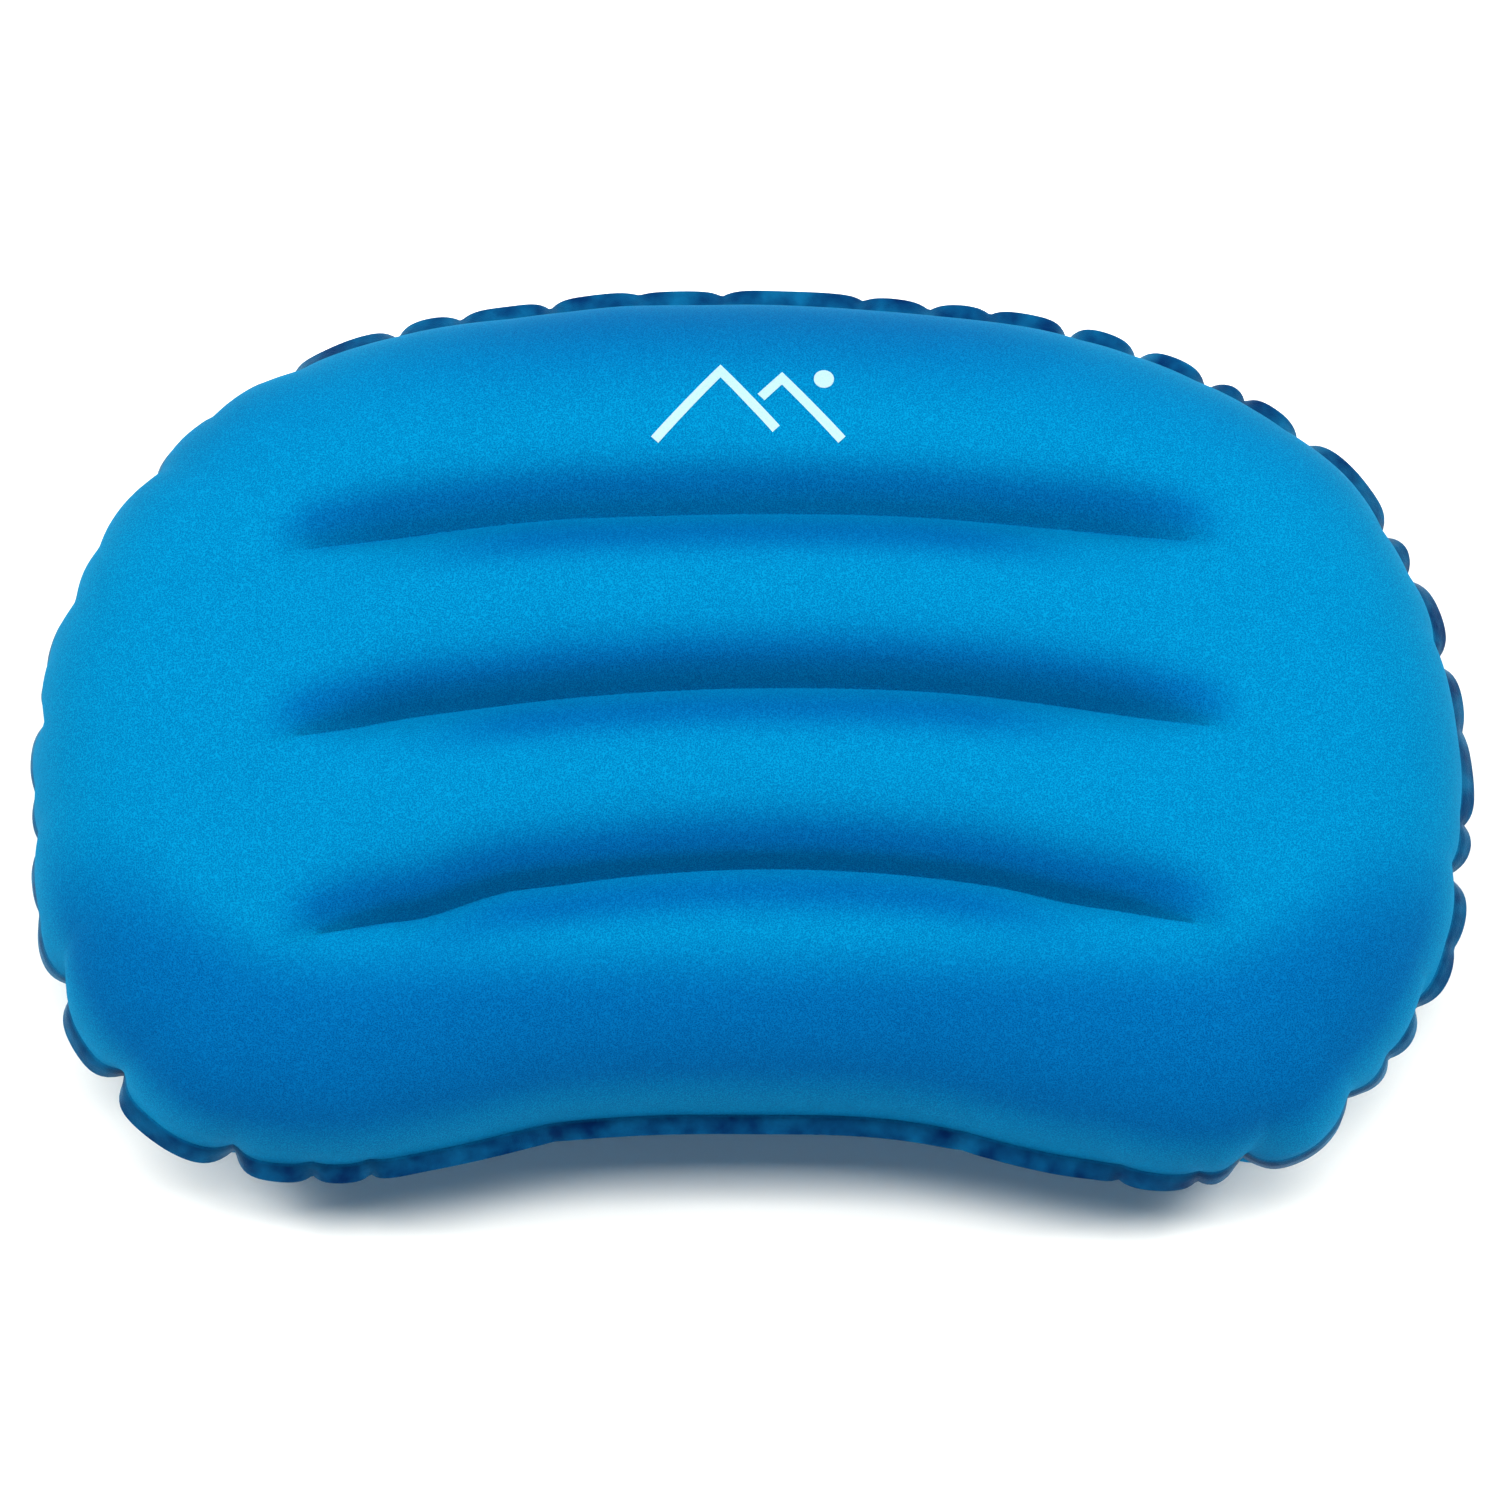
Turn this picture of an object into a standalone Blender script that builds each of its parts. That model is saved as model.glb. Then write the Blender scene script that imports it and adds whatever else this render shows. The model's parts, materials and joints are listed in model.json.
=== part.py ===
"""Inflatable camp pillow: two welded panels, three inner tie baffles and a two-stage air valve.

Frame: the pillow lies on its back panel. +X along its width, +Y towards its head (far) edge, -Y
towards the neck recess, +Z up through its thickness. The origin is the centre of the underside of
its bounding box. Metres.
"""

import math

import bmesh
import bpy
import numpy as np
from mathutils import Matrix, Vector

MM = 0.001

# ---- overall form -----------------------------------------------------------------------------
SEAM_Z = 55.0 * MM            # height of the weld plane above the ground
FLANGE_W = 6.0 * MM           # width of the flat weld flange
PANEL_T = 0.5 * MM            # laminated knit panel
GAP = 0.3 * MM                # clearance between neighbouring pieces
TUBE_R = 50.0 * MM            # radius of the edge bulge
CROWN_RISE = 6.0 * MM         # extra height of the middle over the edge bulge
CROWN_D0, CROWN_D1 = 40.0 * MM, 100.0 * MM
FLAT_H = 55.0 * MM            # the back panel is flat where it rests

# outer edge of the flange, right half, from the middle of the head edge to the neck recess
OUTLINE = [(0, 141.3), (52, 138.9), (97, 132.7), (136, 119.2), (172, 98.4), (198, 71.5),
           (214, 41.5), (223, 0), (223.5, -28), (220, -60), (207, -96), (186, -121),
           (160, -137), (126, -141.0), (92, -137.2), (55, -128.4), (0, -125.4)]

# the three creases: Y at the middle, sag at 140 mm out, depth below the crests, reach to the left
# and to the right, and tilt of the whole arch
CREASES = [(-50.7, 23.6, 15.4, 141.0, 142.0, 0.012), (4.7, 15.4, 16.4, 145.0, 147.0, 0.010),
           (59.6, 14.0, 15.4, 144.0, 144.0, 0.014)]
CREASE_X0 = 2.5 * MM          # where the arches have their middle
CREASE_HALF = 27.5 * MM       # half the crease pitch
CREASE_FADE = 40.0 * MM       # length over which a crease fades out at its end
CORNER_HEAD = (176, 95)       # where the side rows of the panel grid turn into its end rows
CORNER_NECK = (172, -130)

EDGE_SEGS = 4                 # grid lines over the edge bulge
SIDE_SEGS = 24                # grid lines between the two edge bulges
ROW_SEGS = [2, 5, 5, 2]       # grid lines of the four tubes, without their edge bulges

# ---- baffles ----------------------------------------------------------------------------------
WEB_T = 0.4 * MM
FOOT_W = 4.0 * MM             # half-width of the welded foot
FOOT_T = 0.45 * MM
FOOT_DROP = 1.35 * MM         # from the panel's outer face down to the foot
END_DROP = 0.9 * MM            # extra clearance towards the ends, where the crease opens out
BAFFLE_HALF = 132.0 * MM

# ---- valve (local frame: U along the rim, V up the slope, W outwards, zero on the panel face) --
VALVE_TILT = math.radians(38.0)
VALVE_Y = 0.0
VALVE_INSET = 2.2 * MM
PATCH_R0, PATCH_R1 = 24.0 * MM, 36.0 * MM
HOLE_R = 12.8 * MM
NECK_R, BORE_R = 12.4 * MM, 9.8 * MM
BASE_FLANGE_R = 18.5 * MM
RING_R0, RING_R1 = 12.75 * MM, 14.6 * MM
PLUG_R = 12.6 * MM
PORT_R, SEAT_R = 5.8 * MM, 4.4 * MM
PLUG_HINGE = (14.9 * MM, 2.7 * MM)     # U, W of the plug strap's fold line
CAP_HINGE = (-10.6 * MM, 4.9 * MM)     # U, W of the cap strap's fold line
SEGS = 36

# ------------------------------------------------------------------------------- start clean ----
for old in list(bpy.data.objects):
    bpy.data.objects.remove(old, do_unlink=True)


def collection(name):
    c = bpy.data.collections.new(name)
    bpy.context.scene.collection.children.link(c)
    return c


PARTS = collection("camp_pillow")
CUTTERS = collection("camp_pillow_cutters")


def material(name, colour, roughness, metallic=0.0):
    m = bpy.data.materials.new(name)
    m.use_nodes = True
    b = m.node_tree.nodes["Principled BSDF"]
    b.inputs["Base Color"].default_value = (*colour, 1.0)
    b.inputs["Roughness"].default_value = roughness
    b.inputs["Metallic"].default_value = metallic
    return m


KNIT_FACE = material("knit_face", (0.004, 0.19, 0.53), 0.78)
KNIT_BACK = material("knit_back", (0.004, 0.17, 0.49), 0.80)
FILM = material("tpu_film", (0.55, 0.62, 0.66), 0.35)
VALVE_BODY = material("valve_body", (0.025, 0.028, 0.032), 0.42)
VALVE_RING = material("valve_ring", (0.03, 0.033, 0.038), 0.48)
VALVE_PLUG = material("valve_plug", (0.035, 0.038, 0.043), 0.46)
VALVE_CAP = material("valve_cap", (0.05, 0.054, 0.06), 0.44)
SILICONE = material("silicone", (0.72, 0.74, 0.74), 0.5)


def add_object(name, mesh, mat=None, where=PARTS):
    ob = bpy.data.objects.new(name, mesh)
    where.objects.link(ob)
    if mat:
        ob.data.materials.append(mat)
    return ob


def cutter(name, mesh):
    ob = add_object(name, mesh, None, CUTTERS)
    ob.hide_render = True
    ob.display_type = "WIRE"
    return ob


def smooth(ob, angle=35.0):
    ob.data.shade_smooth()
    ob.data.set_sharp_from_angle(angle=math.radians(angle))


def ease(t):
    t = np.clip(t, 0.0, 1.0)
    return t * t * (3.0 - 2.0 * t)


# ------------------------------------------------------------------------------ plan outline ----
def closed_spline(points, count):
    """A closed, twice-smooth curve through the points, read at count even steps of its length."""
    p = np.array(points, float)
    n = len(p)
    step = np.linalg.norm(np.roll(p, -1, axis=0) - p, axis=1)
    a = np.zeros((n, n))
    rhs = np.zeros((n, 2))
    for i in range(n):
        h0, h1 = step[i - 1], step[i]
        a[i, i - 1] += h0
        a[i, i] += 2 * (h0 + h1)
        a[i, (i + 1) % n] += h1
        rhs[i] = 6 * ((p[(i + 1) % n] - p[i]) / h1 - (p[i] - p[i - 1]) / h0)
    m = np.linalg.solve(a, rhs)
    fine = []
    for i in range(n):
        j, h = (i + 1) % n, step[i]
        for t in np.linspace(0, 1, 80, endpoint=False):
            b = 1 - t
            fine.append(b * p[i] + t * p[j] + h * h / 6 * ((b ** 3 - b) * m[i] + (t ** 3 - t) * m[j]))
    fine = np.array(fine)
    ring = np.vstack([fine, fine[:1]])
    run = np.concatenate([[0], np.cumsum(np.linalg.norm(np.diff(ring, axis=0), axis=1))])
    at = np.linspace(0, run[-1], count, endpoint=False)
    return np.column_stack([np.interp(at, run, ring[:, 0]), np.interp(at, run, ring[:, 1])])


def seam_line():
    right = [(x * MM, y * MM) for x, y in OUTLINE]
    left = [(-x, y) for x, y in reversed(right[1:-1])]
    outer = closed_spline(right + left, 1440)
    outer[:, 1] -= (outer[:, 1].max() + outer[:, 1].min()) / 2
    t = np.roll(outer, -1, axis=0) - np.roll(outer, 1, axis=0)
    t /= np.linalg.norm(t, axis=1)[:, None]
    out = np.column_stack([-t[:, 1], t[:, 0]])        # the loop runs clockwise
    return outer - out * FLANGE_W, out


SEAM, SEAM_OUT = seam_line()


def seam_between(y_low, y_high, fractions):
    """Points of the right side of the seam, at fractions of the way from y_low to y_high."""
    keep = (SEAM[:, 0] > 0.1) & (SEAM[:, 1] > y_low - 0.012) & (SEAM[:, 1] < y_high + 0.012)
    side = SEAM[keep]
    side = side[np.argsort(side[:, 1])]
    y = y_low + (y_high - y_low) * fractions
    return np.column_stack([np.interp(y, side[:, 1], side[:, 0]), y])


def seam_end(x_half, fractions, head):
    """Points of the head or the neck end of the seam, from -x_half to x_half."""
    keep = (np.abs(SEAM[:, 0]) < x_half + 0.012) & ((SEAM[:, 1] > 0) == head)
    end = SEAM[keep]
    end = end[np.argsort(end[:, 0])]
    x = -x_half + 2 * x_half * fractions
    return np.column_stack([x, np.interp(x, end[:, 0], end[:, 1])])


def crease_y(k, x):
    y, sag, _, _, _, tilt = CREASES[k]
    return y * MM - sag * MM * ((x - CREASE_X0) / 0.140) ** 2 + tilt * x


def crease_row(k, fractions):
    """The crease's curve carried on to the seam at both sides."""
    ends = []
    for sign in (-1, 1):
        side = SEAM[SEAM[:, 0] * sign > 0.1]
        ends.append(side[np.argmin(np.abs(side[:, 1] - crease_y(k, side[:, 0]))), 0])
    x = ends[0] + (ends[1] - ends[0]) * fractions
    return np.column_stack([x, crease_y(k, x)])


# -------------------------------------------------------------------------------- panel grid ----
def edge_steps(depth, width, inner):
    """Fractions across `width` whose first `depth` follows a quarter circle."""
    a = [depth * (1 - math.cos(math.pi / 2 * i / EDGE_SEGS)) for i in range(EDGE_SEGS + 1)]
    b = [depth + (width - depth) * i / inner for i in range(1, inner + 1)]
    return np.array(a + b) / width


def plan_grid():
    half = edge_steps(TUBE_R, 0.217, SIDE_SEGS // 2) / 2
    across = np.concatenate([half, 1 - half[-2::-1]])
    rows = [seam_end(CORNER_NECK[0] * MM, across, False)]
    rows += [crease_row(k, across) for k in range(3)]
    rows += [seam_end(CORNER_HEAD[0] * MM, across, True)]
    grid, crease_index = [], []
    for b in range(4):
        low, high = rows[b], rows[b + 1]
        span = float(high[len(across) // 2, 1] - low[len(across) // 2, 1])
        if b == 0:
            v = edge_steps(TUBE_R, span, ROW_SEGS[b])
        elif b == 3:
            v = 1 - edge_steps(TUBE_R, span, ROW_SEGS[b])[::-1]
        else:
            v = np.linspace(0, 1, ROW_SEGS[b] + 1)
        right_side = seam_between(low[-1, 1], high[-1, 1], v)
        left_side = seam_between(low[0, 1], high[0, 1], v) * (-1, 1)
        right_side[0], right_side[-1] = low[-1], high[-1]
        left_side[0], left_side[-1] = low[0], high[0]
        block = []
        for j, t in enumerate(v):
            right, left = right_side[j], left_side[j]
            u = across[:, None]
            line = (1 - t) * low + t * high + (1 - u) * left + u * right
            line -= (1 - t) * ((1 - u) * low[0] + u * low[-1]) + t * ((1 - u) * high[0] + u * high[-1])
            block.append(line)
        grid += block if b == 0 else block[1:]
        crease_index.append(len(grid) - 1)
    return np.array(grid), crease_index[:3]


GRID, CREASE_ROWS = plan_grid()


def seam_distance(xy):
    return np.array([np.sqrt(((SEAM - p) ** 2).sum(axis=1).min()) for p in xy])


def panel_height(xy):
    """Height of a panel's outer face over the weld plane."""
    xy = np.asarray(xy, float)
    d = seam_distance(xy)
    near = np.minimum(d, TUBE_R)
    h = np.sqrt(np.maximum(TUBE_R ** 2 - (TUBE_R - near) ** 2, 0))
    h += CROWN_RISE * ease((d - CROWN_D0) / (CROWN_D1 - CROWN_D0))
    dip = np.zeros(len(xy))
    for k, (_, sag, depth, reach_left, reach_right, tilt) in enumerate(CREASES):
        slope = -2 * sag * MM * (xy[:, 0] - CREASE_X0) / 0.140 ** 2 + tilt
        off = np.abs(xy[:, 1] - crease_y(k, xy[:, 0])) / np.sqrt(1 + slope ** 2)
        reach = np.where(xy[:, 0] < 0, reach_left, reach_right) * MM
        t = np.clip((np.abs(xy[:, 0]) - (reach - CREASE_FADE)) / CREASE_FADE, 0, 1)
        fade = (1 - t ** 2.2) ** 0.8
        # a tube's crest is an arc of a circle from crease to crease
        arc_r = (CREASE_HALF ** 2 + (depth * MM) ** 2) / (2 * depth * MM)
        u = np.maximum(CREASE_HALF - off, 0)
        dip = np.maximum(dip, fade * (arc_r - np.sqrt(arc_r ** 2 - u ** 2)))
    return h - dip


# valve frame on the back panel, at the right-hand end
RIM_X = float(np.interp(VALVE_Y, *SEAM[(SEAM[:, 0] > 0.19) & (np.abs(SEAM[:, 1]) < 0.05)][::-1].T[::-1]))
VALVE_W = Vector((math.cos(VALVE_TILT), 0, -math.sin(VALVE_TILT)))
VALVE_U = Vector((0, 1, 0))
VALVE_V = VALVE_W.cross(VALVE_U)
VALVE_AT = Vector((RIM_X - TUBE_R, VALVE_Y, SEAM_Z)) + VALVE_W * (TUBE_R - VALVE_INSET)
VALVE_M = Matrix((VALVE_U, VALVE_V, VALVE_W)).transposed().to_4x4()
VALVE_M.translation = VALVE_AT


def seat_for_valve(p):
    """Draw a point of the back panel onto the flat seat around the valve."""
    rel = p - VALVE_AT
    w = rel.dot(VALVE_W)
    r = (rel - VALVE_W * w).length
    pull = 1 - float(ease((r - PATCH_R0) / (PATCH_R1 - PATCH_R0)))
    return p - VALVE_W * (w * pull)


def build_panel(name, up, mat):
    """One panel: the grid laid on the plan, raised to its form, with its flange, then thickened."""
    rows, cols = GRID.shape[:2]
    bm = bmesh.new()
    bmesh.ops.create_grid(bm, x_segments=cols - 1, y_segments=rows - 1, size=0.5)
    for v in bm.verts:
        i = int(round((v.co.x + 0.5) * (cols - 1)))
        j = int(round((v.co.y + 0.5) * (rows - 1)))
        v.co = Vector((*GRID[j, i], 0))

    if not up:                                        # finer round the valve seat
        near = []
        for e in bm.edges:
            m = (e.verts[0].co + e.verts[1].co) / 2
            if m.x > 0.150 and abs(m.y - VALVE_Y) < 0.047:
                near.append(e)
        bmesh.ops.subdivide_edges(bm, edges=near, cuts=2, use_grid_fill=True)

    rim = [e for e in bm.edges if e.is_boundary]
    rim_verts = {v for e in rim for v in e.verts}
    out = bmesh.ops.extrude_edge_only(bm, edges=rim)["geom"]
    moved = [g for g in out if isinstance(g, bmesh.types.BMVert)]
    moved_set = set(moved)
    sign = 1.0 if up else -1.0
    for v in moved:
        k = int(((SEAM - (v.co.x, v.co.y)) ** 2).sum(axis=1).argmin())
        v.co = Vector((v.co.x + SEAM_OUT[k, 0] * FLANGE_W, v.co.y + SEAM_OUT[k, 1] * FLANGE_W, 0))
    inner = [v for v in bm.verts if v not in moved_set and v not in rim_verts]
    height = panel_height([(v.co.x, v.co.y) for v in inner])
    lift = GAP / 2 + PANEL_T
    for v in bm.verts:
        v.co.z = SEAM_Z + sign * lift
    for v, h in zip(inner, height):
        if up:
            v.co.z = SEAM_Z + lift + h
        else:
            v.co.z = SEAM_Z - min(h + lift, FLAT_H)
            v.co = seat_for_valve(v.co)
    bmesh.ops.recalc_face_normals(bm, faces=bm.faces)
    middle = min(bm.faces, key=lambda f: f.calc_center_median().xy.length)
    if (middle.normal.z > 0) != up:
        bmesh.ops.reverse_faces(bm, faces=bm.faces)
    mesh = bpy.data.meshes.new(name)
    bm.to_mesh(mesh)
    bm.free()
    ob = add_object(name, mesh, mat)
    smooth(ob, 40)
    s = ob.modifiers.new("thickness", "SOLIDIFY")
    s.thickness = PANEL_T
    s.offset = -1
    s.use_even_offset = True
    return ob


top_panel = build_panel("top_panel", True, KNIT_FACE)
bottom_panel = build_panel("bottom_panel", False, KNIT_BACK)


def cylinder(name, radius, low, high, segments=SEGS):
    bm = bmesh.new()
    bmesh.ops.create_cone(bm, cap_ends=True, segments=segments, radius1=radius, radius2=radius,
                          depth=high - low, matrix=Matrix.Translation((0, 0, (high + low) / 2)))
    mesh = bpy.data.meshes.new(name)
    bm.to_mesh(mesh)
    bm.free()
    return cutter(name, mesh)


def cut(ob, tool, operation="DIFFERENCE"):
    b = ob.modifiers.new(tool.name, "BOOLEAN")
    b.operation = operation
    b.object = tool
    b.solver = "EXACT"
    return b


valve_frame = bpy.data.objects.new("valve_frame", None)
PARTS.objects.link(valve_frame)
valve_frame.matrix_world = VALVE_M

valve_hole = cylinder("valve_hole", HOLE_R, -4 * MM, 6 * MM, 40)
valve_hole.parent = valve_frame
cut(bottom_panel, valve_hole)


# ----------------------------------------------------------------------------------- baffles ----
def build_baffle(name, k):
    """A tie strip: an upright web between two V-shaped feet that lie under the crease."""
    row = CREASE_ROWS[k]
    cols = [i for i in range(GRID.shape[1]) if abs(GRID[row, i, 0]) <= BAFFLE_HALF]
    sections = []
    for i in cols:
        sides = []
        for sign in (1, -1):
            near = [Vector((*GRID[row + s, i], 0)) for s in (-1, 0, 1)]
            for p, h in zip(near, panel_height([(p.x, p.y) for p in near])):
                p.z = h + GAP / 2 + PANEL_T if sign > 0 else min(h + GAP / 2 + PANEL_T, FLAT_H)
            down = FOOT_DROP + END_DROP * float(ease((abs(GRID[row, i, 0]) - 0.080) / 0.035))
            mid = near[1] - Vector((0, 0, down))
            left, right = (near[1].lerp(q, FOOT_W / (q - near[1]).length) - Vector((0, 0, down))
                           for q in (near[0], near[2]))
            drop, half = Vector((0, 0, FOOT_T)), Vector((0, WEB_T / 2, 0))
            over = [left, mid, right, right - drop, mid + half - drop * 1.3]
            tail = [mid - half - drop * 1.3, left - drop]
            sides.append([Vector((p.x, p.y, SEAM_Z + sign * p.z)) for p in over + tail])
        top, low = sides
        sections.append(top[:5] + low[4::-1] + low[:4:-1] + top[5:])
    ring = len(sections[0])
    bm = bmesh.new()
    bmesh.ops.create_grid(bm, x_segments=ring, y_segments=len(sections) - 1, size=0.5)
    for v in bm.verts:
        a = int(round((v.co.x + 0.5) * ring)) % ring
        s = int(round((v.co.y + 0.5) * (len(sections) - 1)))
        v.co = sections[s][a]
    bmesh.ops.remove_doubles(bm, verts=bm.verts, dist=1e-6)
    bmesh.ops.holes_fill(bm, edges=[e for e in bm.edges if e.is_boundary], sides=ring)
    bmesh.ops.recalc_face_normals(bm, faces=bm.faces)
    mesh = bpy.data.meshes.new(name)
    bm.to_mesh(mesh)
    bm.free()
    ob = add_object(name, mesh, FILM)
    smooth(ob, 25)
    return ob


build_baffle("baffle_front", 0)
build_baffle("baffle_middle", 1)
build_baffle("baffle_rear", 2)


# ------------------------------------------------------------------------------------- valve ----
def turned(name, profile, mat=None, segments=SEGS, tool=False, closed=True):
    """A turned piece round W. The profile (radius, W) in millimetres runs down its outer side."""
    mesh = bpy.data.meshes.new(name)
    verts = [(r * MM, 0, w * MM) for r, w in profile]
    count = len(verts)
    edges = [(i, i + 1) for i in range(count - 1)] + ([(count - 1, 0)] if closed else [])
    mesh.from_pydata(verts, edges, [])
    ob = cutter(name, mesh) if tool else add_object(name, mesh, mat)
    s = ob.modifiers.new("turn", "SCREW")
    s.axis = "Z"
    s.angle = 2 * math.pi
    s.steps = segments
    s.render_steps = segments
    s.use_merge_vertices = True
    s.merge_threshold = 0.00001
    s.use_smooth_shade = True
    return ob


def bar(name, u0, u1, v_half, w0, w1, round_end=0.0):
    """A flat strap from u0 to u1, as a box primitive with its upright corners rounded."""
    bm = bmesh.new()
    bmesh.ops.create_cube(bm, size=1.0)
    for v in bm.verts:
        v.co = Vector(((u0 + u1) / 2 + v.co.x * (u1 - u0), v.co.y * 2 * v_half,
                       (w0 + w1) / 2 + v.co.z * (w1 - w0))) * MM
    if round_end:
        upright = [e for e in bm.edges if abs(e.verts[0].co.z - e.verts[1].co.z) > 1e-5
                   and abs(e.verts[0].co.x) > max(abs(u0), abs(u1)) * MM - 1e-5]
        bmesh.ops.bevel(bm, geom=upright, offset=round_end * MM, segments=3, affect="EDGES",
                        profile=0.5, clamp_overlap=True)
    bmesh.ops.recalc_face_normals(bm, faces=bm.faces)
    mesh = bpy.data.meshes.new(name)
    bm.to_mesh(mesh)
    bm.free()
    return cutter(name, mesh)


def pivot(name, parent, u, w):
    e = bpy.data.objects.new(name, None)
    PARTS.objects.link(e)
    e.parent = parent
    e.location = (u, 0, w)
    return e


def hold(ob, parent, at=(0, 0, 0)):
    ob.parent = parent
    ob.location = at
    return ob


plug_pivot = pivot("plug_pivot", valve_frame, *PLUG_HINGE)
cap_pivot = pivot("cap_pivot", plug_pivot, CAP_HINGE[0] - PLUG_HINGE[0], CAP_HINGE[1] - PLUG_HINGE[1])
PLUG_BACK = (-PLUG_HINGE[0], 0, -PLUG_HINGE[1])
CAP_BACK = (-CAP_HINGE[0], 0, -CAP_HINGE[1])

# base: inner weld flange, neck with a retaining bead, tapered barrel inside the air chamber
hold(turned("valve_base", [(13.1, 2.4), (13.1, 2.0), (12.4, 1.9), (12.4, -0.8), (18.5, -0.8),
                           (18.5, -1.9), (12.4, -2.1), (11.4, -8.0), (9.8, -8.0), (9.8, 2.4)],
            VALVE_BODY), valve_frame)

# retaining ring under the bead, with the lug that the strap folds from
ring = hold(turned("tether_ring", [(14.6, 1.7), (14.6, 0.3), (12.75, 0.3), (12.75, 1.7)],
                   VALVE_RING), valve_frame)
lug = hold(bar("ring_lug", 13.6, 17.4, 3.6, 0.3, 1.7, 1.6), valve_frame)
cut(ring, lug, "UNION")

# plug: disc, tapered skirt, inflation port with a spoked seat, strap and finger tab
plug = hold(turned("deflate_plug", [(12.6, 3.9), (12.6, 3.0), (12.2, 2.7), (9.5, 2.7), (8.1, -5.5),
                                    (4.4, -5.5), (4.4, -4.0), (5.8, -3.4), (5.8, 4.3), (12.2, 4.3)],
                   VALVE_PLUG), plug_pivot, PLUG_BACK)
strap = hold(bar("plug_strap", 11.2, 14.7, 3.4, 2.7, 3.3), plug_pivot, PLUG_BACK)
tab = hold(bar("plug_tab", -16.2, -11.4, 4.6, 2.9, 4.1, 2.6), plug_pivot, PLUG_BACK)
for tool in (strap, tab):
    cut(plug, tool, "UNION")
for n in range(3):
    spoke = hold(bar(f"seat_spoke_{n}", 1.7, 5.0, 0.55, -5.3, -4.2), plug_pivot, PLUG_BACK)
    spoke.rotation_euler = (0, 0, math.radians(120 * n + 30))
    cut(plug, spoke, "UNION")
hub = hold(turned("seat_hub", [(2.1, -4.1), (2.1, -5.4), (1.4, -5.4), (1.4, -4.1)], None, 18, True),
           plug_pivot, PLUG_BACK)
cut(plug, hub, "UNION")

# one-way flap: a thin silicone disc with a headed stem through the spoked seat
hold(turned("check_flap", [(0, -2.0), (2.0, -2.1), (2.0, -2.6), (1.0, -2.7), (1.0, -5.9),
                           (5.4, -5.9), (5.4, -6.4), (0, -6.5)], SILICONE, 24, closed=False),
     plug_pivot, PLUG_BACK)

# inflation cap: disc, tapered stopper and a pull tab
cap = hold(turned("inflate_cap", [(0, 6.1), (7.6, 6.1), (8.0, 5.7), (8.0, 4.9), (7.7, 4.6),
                                  (5.5, 4.6), (4.9, 0.8), (0, 0.8)], VALVE_CAP, closed=False),
           cap_pivot, CAP_BACK)
cap_strap = hold(bar("cap_strap", -10.4, -6.8, 2.4, 4.9, 5.5), cap_pivot, CAP_BACK)
cap_tab = hold(bar("cap_tab", 7.0, 10.6, 3.2, 4.8, 5.8, 2.0), cap_pivot, CAP_BACK)
for tool in (cap_strap, cap_tab):
    cut(cap, tool, "UNION")

bpy.context.view_layer.update()
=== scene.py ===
"""Looks of the inflatable camp pillow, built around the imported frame.

Lengths are in metres in the frame of the CAD model: the pillow lies on its back panel, +X along its
width, +Y towards the head edge, +Z out of its printed face.
"""

import json
import math

import bmesh
import bpy
import numpy as np
from mathutils import Matrix, Vector, noise
from mathutils.bvhtree import BVHTree
from mathutils.geometry import delaunay_2d_cdt
from mathutils.kdtree import KDTree


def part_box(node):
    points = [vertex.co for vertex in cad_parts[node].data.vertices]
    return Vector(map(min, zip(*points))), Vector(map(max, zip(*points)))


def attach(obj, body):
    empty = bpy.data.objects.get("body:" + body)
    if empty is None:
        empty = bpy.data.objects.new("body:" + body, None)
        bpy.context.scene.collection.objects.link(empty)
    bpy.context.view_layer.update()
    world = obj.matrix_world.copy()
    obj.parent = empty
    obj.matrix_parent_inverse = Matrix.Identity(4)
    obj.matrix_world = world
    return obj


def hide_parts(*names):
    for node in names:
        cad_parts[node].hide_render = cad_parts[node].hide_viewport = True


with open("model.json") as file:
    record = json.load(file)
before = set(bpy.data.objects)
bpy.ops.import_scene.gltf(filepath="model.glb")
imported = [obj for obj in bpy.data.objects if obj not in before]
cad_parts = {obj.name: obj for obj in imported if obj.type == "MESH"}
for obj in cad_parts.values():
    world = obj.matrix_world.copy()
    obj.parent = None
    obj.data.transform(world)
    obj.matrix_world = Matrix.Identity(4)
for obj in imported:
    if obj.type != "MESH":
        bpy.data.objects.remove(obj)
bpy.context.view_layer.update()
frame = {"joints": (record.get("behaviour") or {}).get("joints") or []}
MM = 0.001

# ================================================================ frame of reference from the CAD
TOP_LO, TOP_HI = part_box("top_panel")
BASE_LO, BASE_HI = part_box("bottom_panel")
SEAM_Z = TOP_LO.z - 0.15 * MM                 # the weld plane
HALF_X = TOP_HI.x                             # outer edge of the flange
HALF_Y = TOP_HI.y
TUBE_R = 50.0 * MM
FLAT_H = SEAM_Z                               # the back panel is flat on the ground
JOINTS = {j["name"]: j for j in frame["joints"]}
PLUG_HINGE = Vector(JOINTS["deflate_plug_hinge"]["pos_m"])
PLUG_AXIS = Vector(JOINTS["deflate_plug_hinge"]["axis"]).normalized()
CAP_HINGE = Vector(JOINTS["inflate_cap_hinge"]["pos_m"])
VALVE_U = Vector((0, 1, 0))
VALVE_V = PLUG_AXIS.copy()
VALVE_W = VALVE_U.cross(VALVE_V).normalized()
VALVE_AT = PLUG_HINGE - VALVE_U * 14.9 * MM - VALVE_W * 2.7 * MM
VALVE_M = Matrix((VALVE_U, VALVE_V, VALVE_W)).transposed().to_4x4()
VALVE_M.translation = VALVE_AT

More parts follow.
